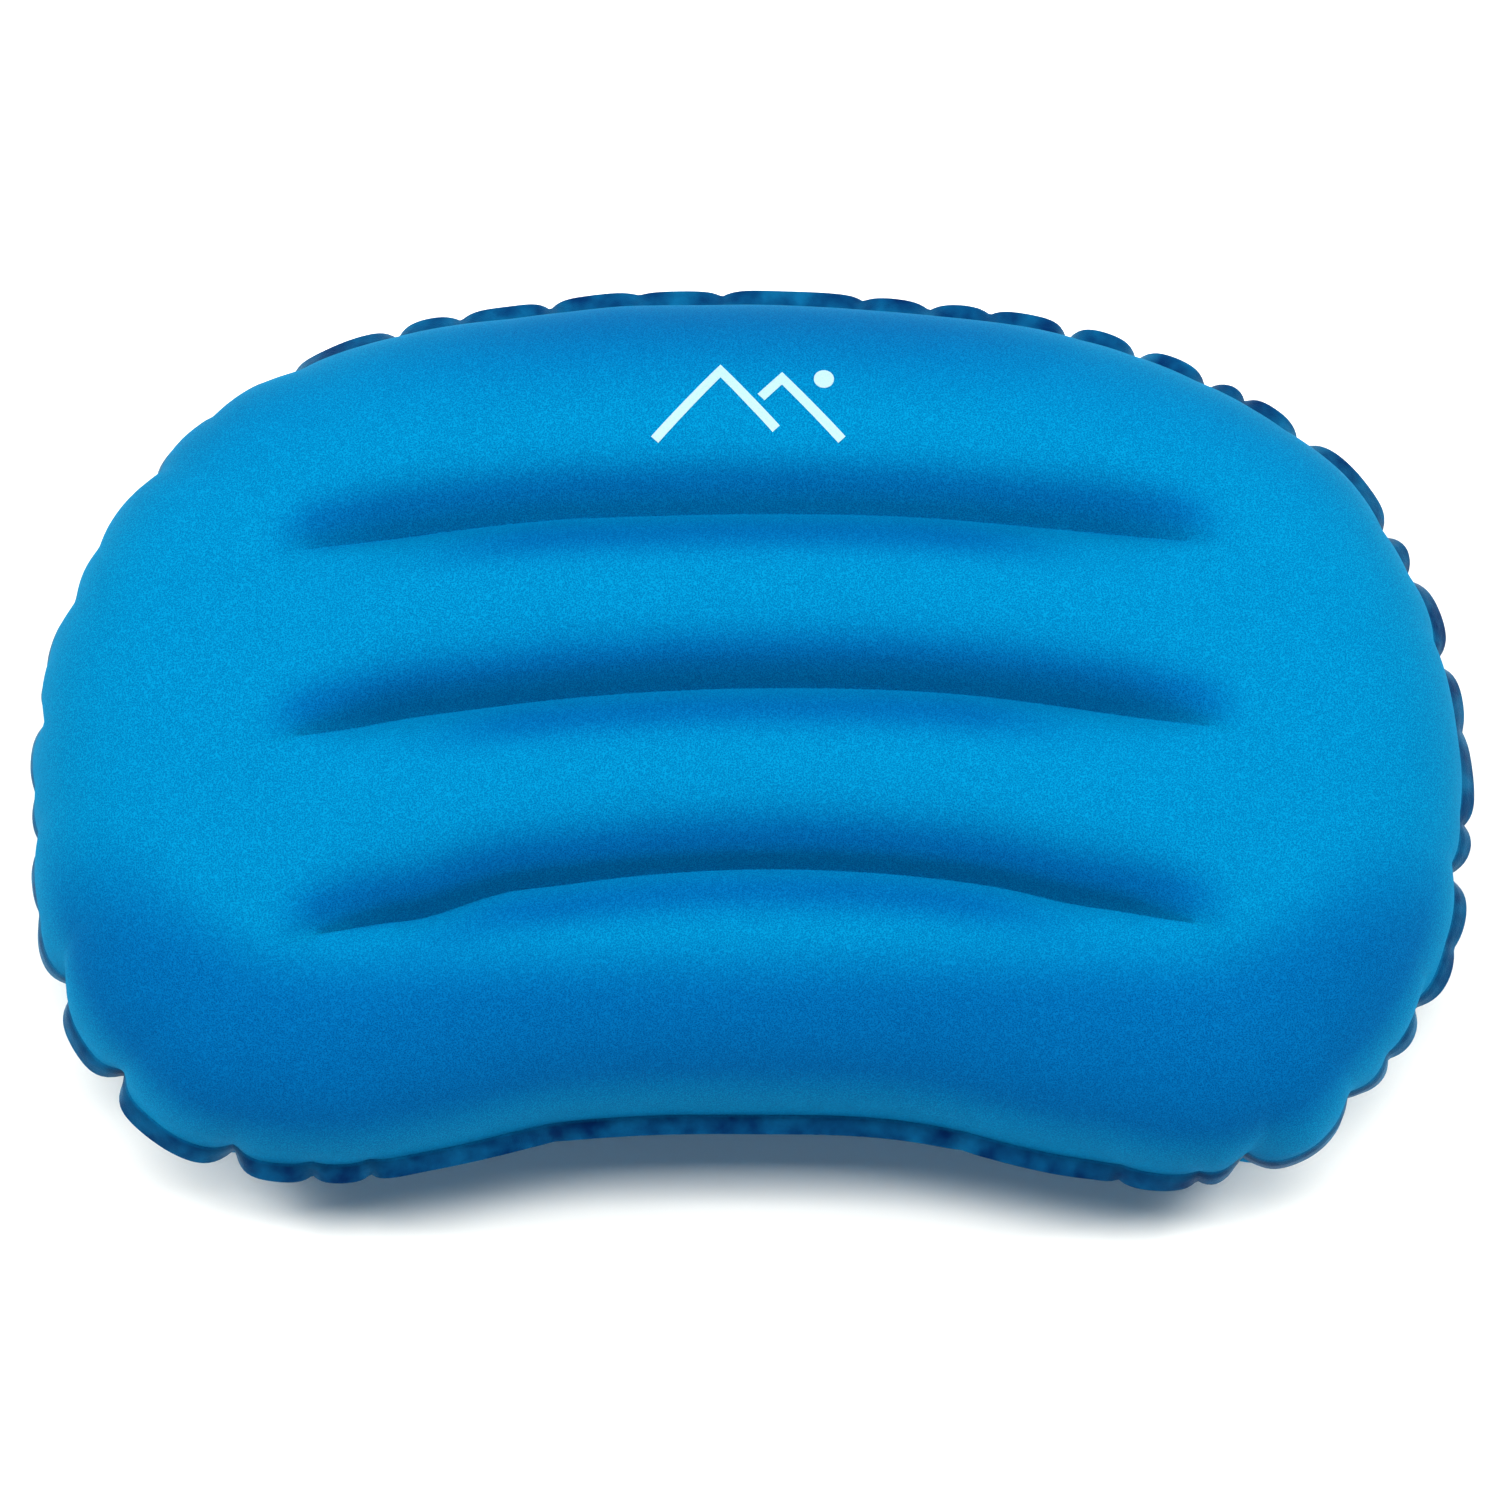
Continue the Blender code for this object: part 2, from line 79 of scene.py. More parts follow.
# ======================================================================================= outline
OUTLINE = [(0, 141.3), (52, 138.9), (97, 132.7), (136, 119.2), (172, 98.4), (198, 71.5),
           (214, 41.5), (223, 0), (223.5, -28), (220, -60), (207, -96), (186, -121),
           (160, -137), (126, -141.0), (92, -137.2), (55, -128.4), (0, -125.4)]
FLANGE_W = 6.0 * MM
SAMPLES = 2880

# puckers of the rim, clockwise from the middle of the head edge:
# (distance along the seam, depth, half-width) in millimetres
PUCKERS = [(36, 0.9, 3.5), (57, 1.8, 4.5), (76, 1.2, 3.5), (101, 4.2, 3.2), (123.5, 3.6, 3.4),
           (147, 4.0, 3.6), (159.5, 1.8, 2.6), (181, 5.0, 4.4), (219, 4.8, 3.4), (234.5, 4.0, 3.8),
           (262.5, 4.8, 3.6), (285, 0.8, 4.0), (314, 1.8, 3.0), (330, 5.6, 3.8), (352, 0.8, 4.0),
           (373, 4.2, 4.6), (391, 2.2, 3.6), (409, 4.4, 4.2), (447, 7.0, 4.2), (461.5, 1.6, 2.6),
           (485, 1.2, 2.6), (533, 0.4, 4.0), (660, 0.4, 5.0), (717, 1.8, 2.4), (734.5, 2.2, 2.8),
           (759.5, 8.8, 4.2), (801.5, 7.4, 3.4), (833.5, 7.0, 4.0), (858, 1.2, 3.6), (879.5, 3.2, 3.0),
           (895, 1.6, 3.2), (918.5, 4.6, 3.4), (932, 1.2, 3.0), (957, 4.8, 4.4), (973, 3.4, 3.2),
           (998.5, 6.0, 4.2), (1032.5, 3.0, 2.6), (1053.5, 4.2, 3.0), (1090, 2.4, 3.2),
           (1110, 1.6, 4.0), (1138, 1.8, 3.4), (1166, 0.5, 4.0), (1192, 1.2, 4.0)]
# how far the rim stands outside the even outline, between the puckers
SWELL = [(0, 0.1), (50, -0.5), (80, -0.6), (110, -0.2), (135, 0.3), (165, 0.7), (200, 2.4), (228, 1.7),
         (245, 2.2), (275, 2), (300, 2.8), (345, 2.5), (385, 0.9), (405, 1.8), (427, 5.1), (455, 4.1),
         (475, 3), (492, 0.5), (520, 0.8), (600, 0.6), (640, 0.5), (665, -0.6), (700, -1), (722, 0.4),
         (745, 0.4), (778, 3.5), (817, 3.7), (848, 4.4), (869, 3.5), (889, 3), (904, 3.8), (936, 3.7),
         (985, 3.5), (1018, 4.7), (1040, 5.4), (1068, 3.5), (1098, 1.6), (1125, -0), (1160, 1.1),
         (1185, 0.1)]
# how far the flange leans back from the weld plane, in degrees, and its width
LEAN = [(0, 8), (60, 10), (110, 16), (180, 26), (230, 44), (280, 52), (330, 50), (365, 48), (385, 66),
        (405, 82), (430, 84), (450, 76), (478, 44), (500, 30), (560, 28), (600, 28), (680, 30), (730, 38),
        (790, 46), (825, 62), (850, 78), (900, 84), (960, 84), (1010, 78), (1045, 62), (1075, 34),
        (1120, 16), (1170, 10)]
WIDTH = [(0, 7.0), (150, 6.6), (300, 6.2), (450, 6.0), (600, 5.8), (760, 6.0), (900, 6.0), (1050, 6.4),
         (1150, 6.9)]

# creases: Y at the middle, sag at 140 mm out, depth, reach to the left, reach to the right, tilt
CREASES = [(-50.7, 23.6, 16.6, 139, 142, 0.012), (4.7, 15.4, 17.4, 144, 147, 0.010),
           (59.6, 10.6, 16.6, 142, 143, 0.006)]
CURL = [-1.6, 0.6, 3.0]                        # how far each crease's ends curl down further, mm
WAVER = [(0, -97, 12, -1.6), (0, -72, 10, 0.7), (0, 96, 13, -1.0), (1, 60, 30, 0.5), (1, -105, 14, 0.6),
         (2, -60, 24, 0.6), (2, 84, 20, -0.6)]  # crease, X, half-width and shift of its small bends, mm
CREASE_X0 = 2.5
CREASE_HALF = 27.5 * MM
CREASE_FADE = 44.0 * MM
CREASE_TIP = 0.22                             # how softly a crease runs out at its tip


def ease(t):
    t = np.clip(t, 0.0, 1.0)
    return t * t * (3.0 - 2.0 * t)


def closed_spline(points, count):
    p = np.array(points, float)
    n = len(p)
    step = np.linalg.norm(np.roll(p, -1, axis=0) - p, axis=1)
    a = np.zeros((n, n))
    rhs = np.zeros((n, p.shape[1]))
    for i in range(n):
        h0, h1 = step[i - 1], step[i]
        a[i, i - 1] += h0
        a[i, i] += 2 * (h0 + h1)
        a[i, (i + 1) % n] += h1
        rhs[i] = 6 * ((p[(i + 1) % n] - p[i]) / h1 - (p[i] - p[i - 1]) / h0)
    m = np.linalg.solve(a, rhs)
    fine = []
    t = np.linspace(0, 1, 80, endpoint=False)[:, None]
    for i in range(n):
        j, h = (i + 1) % n, step[i]
        b = 1 - t
        fine.append(b * p[i] + t * p[j] + h * h / 6 * ((b ** 3 - b) * m[i] + (t ** 3 - t) * m[j]))
    fine = np.vstack(fine)
    ring = np.vstack([fine, fine[:1]])
    run = np.concatenate([[0], np.cumsum(np.linalg.norm(np.diff(ring, axis=0), axis=1))])
    at = np.linspace(0, run[-1], count, endpoint=False)
    return np.column_stack([np.interp(at, run, ring[:, k]) for k in range(p.shape[1])])


right = [(x * MM, y * MM) for x, y in OUTLINE]
left = [(-x, y) for x, y in reversed(right[1:-1])]
OUTER = closed_spline(right + left, SAMPLES)
OUTER[:, 1] -= (OUTER[:, 1].max() + OUTER[:, 1].min()) / 2
OUTER *= HALF_X / OUTER[:, 0].max()
_t = np.roll(OUTER, -1, axis=0) - np.roll(OUTER, 1, axis=0)
_t /= np.linalg.norm(_t, axis=1)[:, None]
OUT = np.column_stack([-_t[:, 1], _t[:, 0]])
SEAM = OUTER - OUT * FLANGE_W
SEAM_S = np.concatenate([[0], np.cumsum(np.linalg.norm(np.diff(SEAM, axis=0), axis=1))])
SEAM_L = SEAM_S[-1] + np.linalg.norm(SEAM[0] - SEAM[-1])
TREE = KDTree(SAMPLES)
for i, p in enumerate(SEAM):
    TREE.insert((p[0], p[1], 0), i)
TREE.balance()


def along(table, s):
    """A smooth closed curve through (distance, value) pairs, read at s in metres."""
    k = np.array([a for a, _ in table], float) * MM
    v = np.array([b for _, b in table], float)
    k = np.concatenate([k - SEAM_L, k, k + SEAM_L])
    v = np.concatenate([v, v, v])
    fine = np.linspace(-0.05, SEAM_L + 0.05, 5200)
    f = np.interp(fine, k, v)
    width = 60
    kernel = np.hanning(width)
    kernel /= kernel.sum()
    return np.interp(s, fine, np.convolve(np.pad(f, width, mode="edge"), kernel, "same")[width:-width])


def gap_to(s, at):
    return (s - at * MM + SEAM_L / 2) % SEAM_L - SEAM_L / 2


def cusp(t):
    return np.exp(-np.abs(t) ** 1.25)


def dents(s, arc, back=False):
    """Inward depth of the rim puckers at seam distance s and surface distance arc from the seam."""
    depth = np.zeros_like(s)
    back_fold = ease((along(LEAN, s) - 25) / 55)
    for n, (at, deep, wide) in enumerate(PUCKERS):
        root = min(0.50 * deep, 3.8) * (1 + 1.0 * back_fold)
        spread = wide * MM * 1.25 + arc * (0.24 if not back else 0.28)
        reach = (3.5 + 1.35 * deep) * MM * (1.0 if not back else 1.25) * (1 + 0.9 * back_fold)
        drift = arc * (0.35 * math.sin(2.4 * n + (1.7 if back else 0)))
        g = cusp((gap_to(s, at) - drift) / spread)
        depth += root * MM * g * (0.86 * np.exp(-arc / reach) + 0.14 * np.exp(-arc / (4.0 * reach)))
    return depth


def gathered(flat):
    """1 in the puckers at the rim, 0 between them and away from the rim."""
    theta = np.arccos(np.clip(1 - flat.dist / TUBE_R, -1, 1))
    arc = np.minimum(theta, math.pi / 2) * TUBE_R + np.maximum(flat.dist - TUBE_R, 0)
    pull = np.zeros_like(arc)
    for at, deep, wide in PUCKERS:
        g = cusp(gap_to(flat.s, at) / (1.15 * wide * MM + 0.12 * arc))
        pull = np.maximum(pull, min(deep / 3.4, 1.0) * g * np.exp(-(arc / (26 * MM)) ** 2))
    return pull


def fold(s):
    """Angle by which the flange leans back, with its folds at the puckers."""
    angle = along(LEAN, s)
    extra = np.zeros_like(s)
    for n, (at, deep, wide) in enumerate(PUCKERS):
        top = math.degrees(math.acos(max(0.12, 1 - 0.55 * deep / 6.0)))
        extra = np.maximum(extra, top * cusp(gap_to(s, at) / (wide * MM * 0.95)))
    return np.radians(np.minimum(angle + extra * (1 - angle / 120), 86))


# ================================================================================ rings and inside
RING_TOP = math.radians(66.0)                 # the rim bulge is ringed up to here, then filled


def crease_y(k, x):
    y, sag, _, _, _, tilt = CREASES[k]
    t = (x - CREASE_X0 * MM) / 0.140
    line = y * MM - sag * MM * t ** 2 - CURL[k] * MM * np.minimum(np.abs(t), 1.1) ** 8 + tilt * x
    for which, at, wide, shift in WAVER:
        if which == k:
            line = line + shift * MM * np.exp(-((x - at * MM) / (wide * MM)) ** 2)
    return line


def row_y(t, x):
    """Rows that run with the creases: whole numbers are the creases themselves."""
    if t <= 0:
        return crease_y(0, x) + t * 2 * CREASE_HALF
    if t >= 2:
        return crease_y(2, x) + (t - 2) * 2 * CREASE_HALF
    k = min(int(t), 1)
    return crease_y(k, x) * (1 - (t - k)) + crease_y(k + 1, x) * (t - k)


class Layout:
    """The flat pattern of a panel: rings that follow the seam, and rows that follow the creases."""

    def __init__(self, every, rings, step, rows):
        pick = np.arange(0, SAMPLES, every)
        self.count = len(pick)
        self.angles = np.linspace(0, RING_TOP, rings + 1)
        depth = TUBE_R * (1 - np.cos(self.angles))
        xy = [SEAM[pick] - OUT[pick] * d for d in depth]
        s = [SEAM_S[pick]] * len(depth)
        near = [pick] * len(depth)
        dist = [np.full(self.count, d) for d in depth]
        n = self.count
        faces = []
        for r in range(rings):
            for i in range(n):
                k = (i + 1) % n
                faces.append((r * n + i, r * n + k, (r + 1) * n + k, (r + 1) * n + i))
        edge = xy[-1]
        inside, links, last = [], [], None
        for j in range(-2 * rows, 4 * rows + 1):
            t = j / rows
            xs = np.arange(-0.215, 0.2151, step) + (step / 2 if j % 2 else 0)
            last = None
            for x in xs:
                y = row_y(t, x)
                hit = TREE.find((x, y, 0))
                i = hit[1]
                inward = (SEAM[i] - (x, y)) @ OUT[i]
                if inward < depth[-1] + 0.45 * step:
                    last = None
                    continue
                inside.append((x, y, hit[2], i))
                if j in (0, rows, 2 * rows) and last is not None:
                    links.append((last, len(inside) - 1))
                last = len(inside) - 1
        coords = [Vector(p) for p in edge] + [Vector((a, b)) for a, b, _, _ in inside]
        loops = [(i, (i + 1) % n) for i in range(n)] + [(a + n, b + n) for a, b in links]
        v, _, tri, ids, _, _ = delaunay_2d_cdt(coords, loops, [], 1, 1e-7)
        name = [o[0] for o in ids]
        base = rings * n
        for f in tri:
            f = [name[k] for k in f]
            p = [coords[k] for k in f]
            turn = (p[1] - p[0]).cross(p[2] - p[0])
            f = f if turn > 0 else f[::-1]
            faces.append(tuple(base + k for k in f))
        # the seam runs clockwise, so the ring quads are turned to face up as the triangles do
        ring_faces = rings * n
        faces = [tuple(reversed(f)) for f in faces[:ring_faces]] + faces[ring_faces:]
        a = np.array([(q[0], q[1]) for q in inside])
        self.xy = np.vstack(xy + [a])
        self.near = np.concatenate(near + [np.array([q[3] for q in inside])])
        self.dist = np.concatenate(dist + [np.array([q[2] for q in inside])])
        self.s = SEAM_S[self.near]
        self.n = OUT[self.near]
        self.faces = faces
        self.pick = pick


def crease_dip(x, y):
    dip = np.zeros(len(x))
    for k, (_, sag, depth, reach_l, reach_r, tilt) in enumerate(CREASES):
        slope = -2 * sag * MM * (x - CREASE_X0 * MM) / 0.140 ** 2 + tilt
        off = (y - crease_y(k, x)) / np.sqrt(1 + slope ** 2)
        reach = np.where(x < 0, reach_l, reach_r) * MM
        t = np.clip((np.abs(x) - (reach - CREASE_FADE)) / CREASE_FADE, 0, 2)
        left = 1 - t ** 2.2
        fade = 0.5 * (left + np.sqrt(left ** 2 + CREASE_TIP ** 2)) / (0.5 * (1 + math.sqrt(1 + CREASE_TIP ** 2)))
        arc_r = (CREASE_HALF ** 2 + (depth * MM) ** 2) / (2 * depth * MM)
        u = np.maximum(CREASE_HALF - np.abs(off), 0)
        dip = np.maximum(dip, fade * (arc_r - np.sqrt(arc_r ** 2 - u ** 2)))
    return dip


def crease_gap(x, y):
    """0 on the welded lines, rising to 1 at 14 mm from them."""
    gap = np.ones(len(x))
    for k, (_, sag, depth, reach_l, reach_r, tilt) in enumerate(CREASES):
        reach = np.where(x < 0, reach_l, reach_r) * MM
        along_x = np.maximum(np.abs(x) - reach, 0)
        gap = np.minimum(gap, ease(np.hypot(y - crease_y(k, x), along_x) / (14 * MM)))
    return gap


def painted_shade_tone(x, y, dist, back):
    """Painted shade: 1 on the open fabric, less beside the creases and near the neck and head edges, where shade
    falls.
    """
    tone = np.ones(len(x))
    # painted crease shade: darker in a band on each side of every welded line
    for k, (_, _, _, reach_l, reach_r, _) in enumerate(CREASES):
        reach = np.where(x < 0, reach_l, reach_r) * MM
        off = y - crease_y(k, x)
        along = np.where(off > 0, 1 - ease((np.abs(x) - reach + 14 * MM) / (22 * MM)),
                         1 - ease((np.abs(x) - 0.062) / 0.050))
        tone = tone * (1 - 0.56 * along * np.exp(-((np.abs(off) - 8 * MM) / (7.0 * MM)) ** 2))
    if not back:
        # painted shade on the face: darker towards the neck edge and along the head edge
        side = ease((np.abs(x) - 0.135) / 0.060)
        start = 69 * MM + side * -37 * MM
        full = 93 * MM + side * -17 * MM
        low = ease((-y - start) / (full - start)) * ease((dist - 1 * MM) / (10 * MM))
        head = ease((y - 0.045) / 0.050) * (1 - ease((dist - 6 * MM) / (44 * MM)))
        head = head * (1 - 0.65 * ease((np.abs(x) - 0.045) / 0.090))
        tone = tone * (1 - 0.56 * low) * (1 - 0.60 * head)
    return tone


def quiet_ends(x, y):
    """1 everywhere but round the ends of the welded lines, where the baffles hold the skin."""
    calm = np.ones(len(x))
    for k, (_, _, _, reach_l, reach_r, _) in enumerate(CREASES):
        for end in (-reach_l * MM, reach_r * MM):
            d2 = (x - end) ** 2 + (y - crease_y(k, np.array([end]))[0]) ** 2
            calm *= 1 - 0.8 * np.exp(-d2 / (0.020 ** 2))
    return calm


def on_crease(x, y):
    """1 on the welded lines, 0 a millimetre and more away from them."""
    hold = np.zeros(len(x))
    for k, (_, sag, depth, reach_l, reach_r, tilt) in enumerate(CREASES):
        reach = np.where(x < 0, reach_l, reach_r) * MM - 8 * MM
        hold = np.maximum(hold, (np.abs(y - crease_y(k, x)) < 0.8 * MM) & (np.abs(x) < reach))
    return hold


def crown(d):
    near = np.minimum(d, TUBE_R)
    h = np.sqrt(np.maximum(TUBE_R ** 2 - (TUBE_R - near) ** 2, 0))
    return h + 6.0 * MM * ease((d - 40 * MM) / (60 * MM))


def seat_for_valve(p):
    rel = p - np.array(VALVE_AT)
    w = rel @ np.array(VALVE_W)
    r = np.linalg.norm(rel - w[:, None] * np.array(VALVE_W), axis=1)
    pull = 1 - ease((r - 22 * MM) / (14 * MM))
    return p - np.array(VALVE_W) * (w * pull)[:, None]


def soft_noise(x, y, z, scale, seed):
    return np.array([noise.noise(Vector((a * scale + seed, b * scale, c * scale)))
                     for a, b, c in zip(x, y, z)])


def panel_points(flat, back=False, shrink=0.0):
    """The inflated outer face of a panel at every point of its flat pattern."""
    x, y = flat.xy[:, 0].copy(), flat.xy[:, 1].copy()
    swell = along(SWELL, flat.s) * MM
    theta = np.minimum(np.arccos(np.clip(1 - flat.dist / TUBE_R, -1, 1)), math.pi / 2)
    arc = theta * TUBE_R + np.maximum(flat.dist - TUBE_R, 0)
    h = crown(flat.dist) - crease_dip(x, y)
    d = dents(flat.s, arc, back)
    h += 0.5 * MM * soft_noise(x, y, y * 0, 22.0, 31.0 if back else 7.0) * ease(flat.dist / 0.03)
    h -= shrink * ease(flat.dist / 0.03) * crease_gap(x, y)
    fade = 1 - ease(flat.dist / (70 * MM))
    px = x + flat.n[:, 0] * (swell * fade - d * np.cos(theta))
    py = y + flat.n[:, 1] * (swell * fade - d * np.cos(theta))
    h = h - d * np.sin(theta)
    lift = 0.55 * MM
    if not back:
        return np.column_stack([px, py, SEAM_Z + lift + h])
    p = np.column_stack([px, py, SEAM_Z - np.minimum(h + lift, FLAT_H)])
    return seat_for_valve(p)


FLANGE_RINGS = 4


def flange_points(flat, mid, back=False):
    """Rings of the flange outside the seam points mid, on one side of the weld."""
    s = flat.s[:flat.count]
    n = flat.n[:flat.count]
    lean = fold(s)
    wide = along(WIDTH, s) * MM
    ripple = 0.25 * np.sin(s / 0.0053) * np.sin(s / 0.031 + 1.0)
    rings = []
    for j in range(1, FLANGE_RINGS + 1):
        w = wide * j / FLANGE_RINGS
        tip = lean + np.radians(ripple * 9.0) * (j / FLANGE_RINGS)
        out, down = np.cos(tip), np.sin(tip)
        half = (0.55 * MM) * (-1 if back else 1)
        rings.append(np.column_stack([mid[:, 0] + n[:, 0] * (w * out + half * down),
                                      mid[:, 1] + n[:, 1] * (w * out + half * down),
                                      mid[:, 2] - w * down + half * out]))
    return rings


def apply_modifiers(ob):
    dg = bpy.context.evaluated_depsgraph_get()
    mesh = bpy.data.meshes.new_from_object(ob.evaluated_get(dg), preserve_all_data_layers=True,
                                           depsgraph=dg)
    old = ob.data
    ob.modifiers.clear()
    ob.data = mesh
    bpy.data.meshes.remove(old)
    return ob


def smooth_shade(ob, angle=50):
    ob.data.shade_smooth()
    ob.data.set_sharp_from_angle(angle=math.radians(angle))


def link_mesh(name, points, faces):
    mesh = bpy.data.meshes.new(name)
    mesh.from_pydata([tuple(c) for c in points], [], faces)
    mesh.update()
    ob = bpy.data.objects.new(name, mesh)
    bpy.context.scene.collection.objects.link(ob)
    return ob


def blow_up(back):
    """Cloth pass: a coarse copy of the panel, held at its welds, is blown up by the air inside.

    Returns the points of the copy and how far each one moved, capped."""
    flat = COARSE
    start = panel_points(flat, back, shrink=BLOW_SHRINK)
    faces = [tuple(reversed(f)) for f in flat.faces] if back else flat.faces
    ob = link_mesh("cloth_pass", start, faces)
    held = np.zeros(len(start), bool)
    held[:flat.count * 2] = True
    held |= on_crease(flat.xy[:, 0], flat.xy[:, 1]) > 0
    if back:
        held |= start[:, 2] < 0.4 * MM
        held |= np.linalg.norm(start - np.array(VALVE_AT), axis=1) < 24 * MM
    group = ob.vertex_groups.new(name="held")
    group.add([int(i) for i in np.nonzero(held)[0]], 1.0, "REPLACE")
    cloth = ob.modifiers.new("cloth", "CLOTH")
    c = cloth.settings
    c.quality = 6
    c.mass = 0.25
    c.use_pressure = True
    c.uniform_pressure_force = 4.0
    c.tension_stiffness = c.compression_stiffness = 40.0
    c.shear_stiffness = 20.0
    c.bending_stiffness = 1.5
    c.tension_damping = c.compression_damping = 15.0
    c.air_damping = 3.0
    c.effector_weights.gravity = 0.0
    c.vertex_group_mass = "held"
    cloth.point_cache.frame_start, cloth.point_cache.frame_end = 1, 20
    scene = bpy.context.scene
    for f in range(1, 21):
        scene.frame_set(f)
    dg = bpy.context.evaluated_depsgraph_get()
    done = ob.evaluated_get(dg).data
    co = np.empty(len(done.vertices) * 3, np.float32)
    done.vertices.foreach_get("co", co)
    move = co.reshape(-1, 3).astype(float) - start
    length = np.linalg.norm(move, axis=1)
    move *= np.minimum(1.0, BLOW_CAP / np.maximum(length, 1e-9))[:, None]
    print("cloth pass", "back" if back else "face", "mean move", round(float(length.mean()) * 1000, 2),
          "most", round(float(length.max()) * 1000, 2))
    scene.frame_set(1)
    mesh = ob.data
    bpy.data.objects.remove(ob)
    bpy.data.meshes.remove(mesh)
    return start, move


BLOW_SHRINK = 1.6 * MM
BLOW_CAP = 4.0 * MM


def carry(points, start, move, reach=7.0 * MM, count=8):
    """Read the cloth pass's movement at the fine points."""
    tree = KDTree(len(start))
    for i, p in enumerate(start):
        tree.insert(p, i)
    tree.balance()
    out = np.zeros_like(points)
    for i, p in enumerate(points):
        total, weight = np.zeros(3), 0.0
        for _, k, dist in tree.find_n(p, count):
            w = math.exp(-(dist / reach) ** 2) + 1e-9
            total += move[k] * w
            weight += w
        out[i] = total / weight
    return out


def build_cover(name, back=False):
    flat = FINE
    start, move = blow_up(back)
    pts = panel_points(flat, back, shrink=BLOW_SHRINK)
    share = quiet_ends(flat.xy[:, 0], flat.xy[:, 1]) * (1 - 0.9 * gathered(flat))
    pts = pts + carry(pts, start, move) * share[:, None]
    if back:
        pts[:, 2] = np.maximum(pts[:, 2], 0.0)
    n = flat.count
    seam_mid = pts[:n].copy()
    seam_mid[:, 2] = SEAM_Z
    rings = flange_points(flat, seam_mid, back)
    base = len(pts)
    faces = list(flat.faces)
    ids = [list(range(n))] + [[base + r * n + i for i in range(n)] for r in range(FLANGE_RINGS)]
    for r in range(FLANGE_RINGS):
        for i in range(n):
            k = (i + 1) % n
            faces.append((ids[r][i], ids[r + 1][i], ids[r + 1][k], ids[r][k]))
    if back:
        faces = [tuple(reversed(f)) for f in faces]
    ob = link_mesh(name, np.vstack([pts] + rings), faces)
    rim_d = np.concatenate([flat.dist] + [np.full(n, -(r + 1) * 1.5 * MM) for r in range(FLANGE_RINGS)])
    a = ob.data.attributes.new("rim_distance", "FLOAT", "POINT")
    a.data.foreach_set("value", rim_d.astype(np.float32))
    # painted shade stored per point: darker beside the creases and towards the neck and head edges; 1 on the flange
    a = ob.data.attributes.new("painted_shade", "FLOAT", "POINT")
    a.data.foreach_set("value", np.concatenate([painted_shade_tone(pts[:, 0], pts[:, 1], flat.dist, back),
                                                np.ones(n * FLANGE_RINGS)]).astype(np.float32))
    t = ob.modifiers.new("thickness", "SOLIDIFY")
    t.thickness = 0.5 * MM
    t.offset = -1
    t.use_even_offset = False
    if back:
        bpy.ops.mesh.primitive_cylinder_add(vertices=120, radius=12.8 * MM, depth=12 * MM)
        tool = bpy.context.object
        tool.matrix_world = VALVE_M
        b = ob.modifiers.new("valve_hole", "BOOLEAN")
        b.operation = "DIFFERENCE"
        b.object = tool
        b.solver = "EXACT"
    apply_modifiers(ob)
    if back:
        bpy.data.objects.remove(tool)
    smooth_shade(ob, 48)
    return ob


FINE = Layout(3, 18, 2.5 * MM, 22)
COARSE = Layout(8, 8, 6.0 * MM, 9)


# ===================================================================================== materials
def shader(name):
    m = bpy.data.materials.new(name)
    m.use_nodes = True
    nt = m.node_tree
    return m, nt, nt.nodes["Principled BSDF"]


def node(nt, kind, **values):
    n = nt.nodes.new(kind)
    for k, v in values.items():
        if k in n.inputs:
            n.inputs[k].default_value = v
        else:
            setattr(n, k, v)
    return n


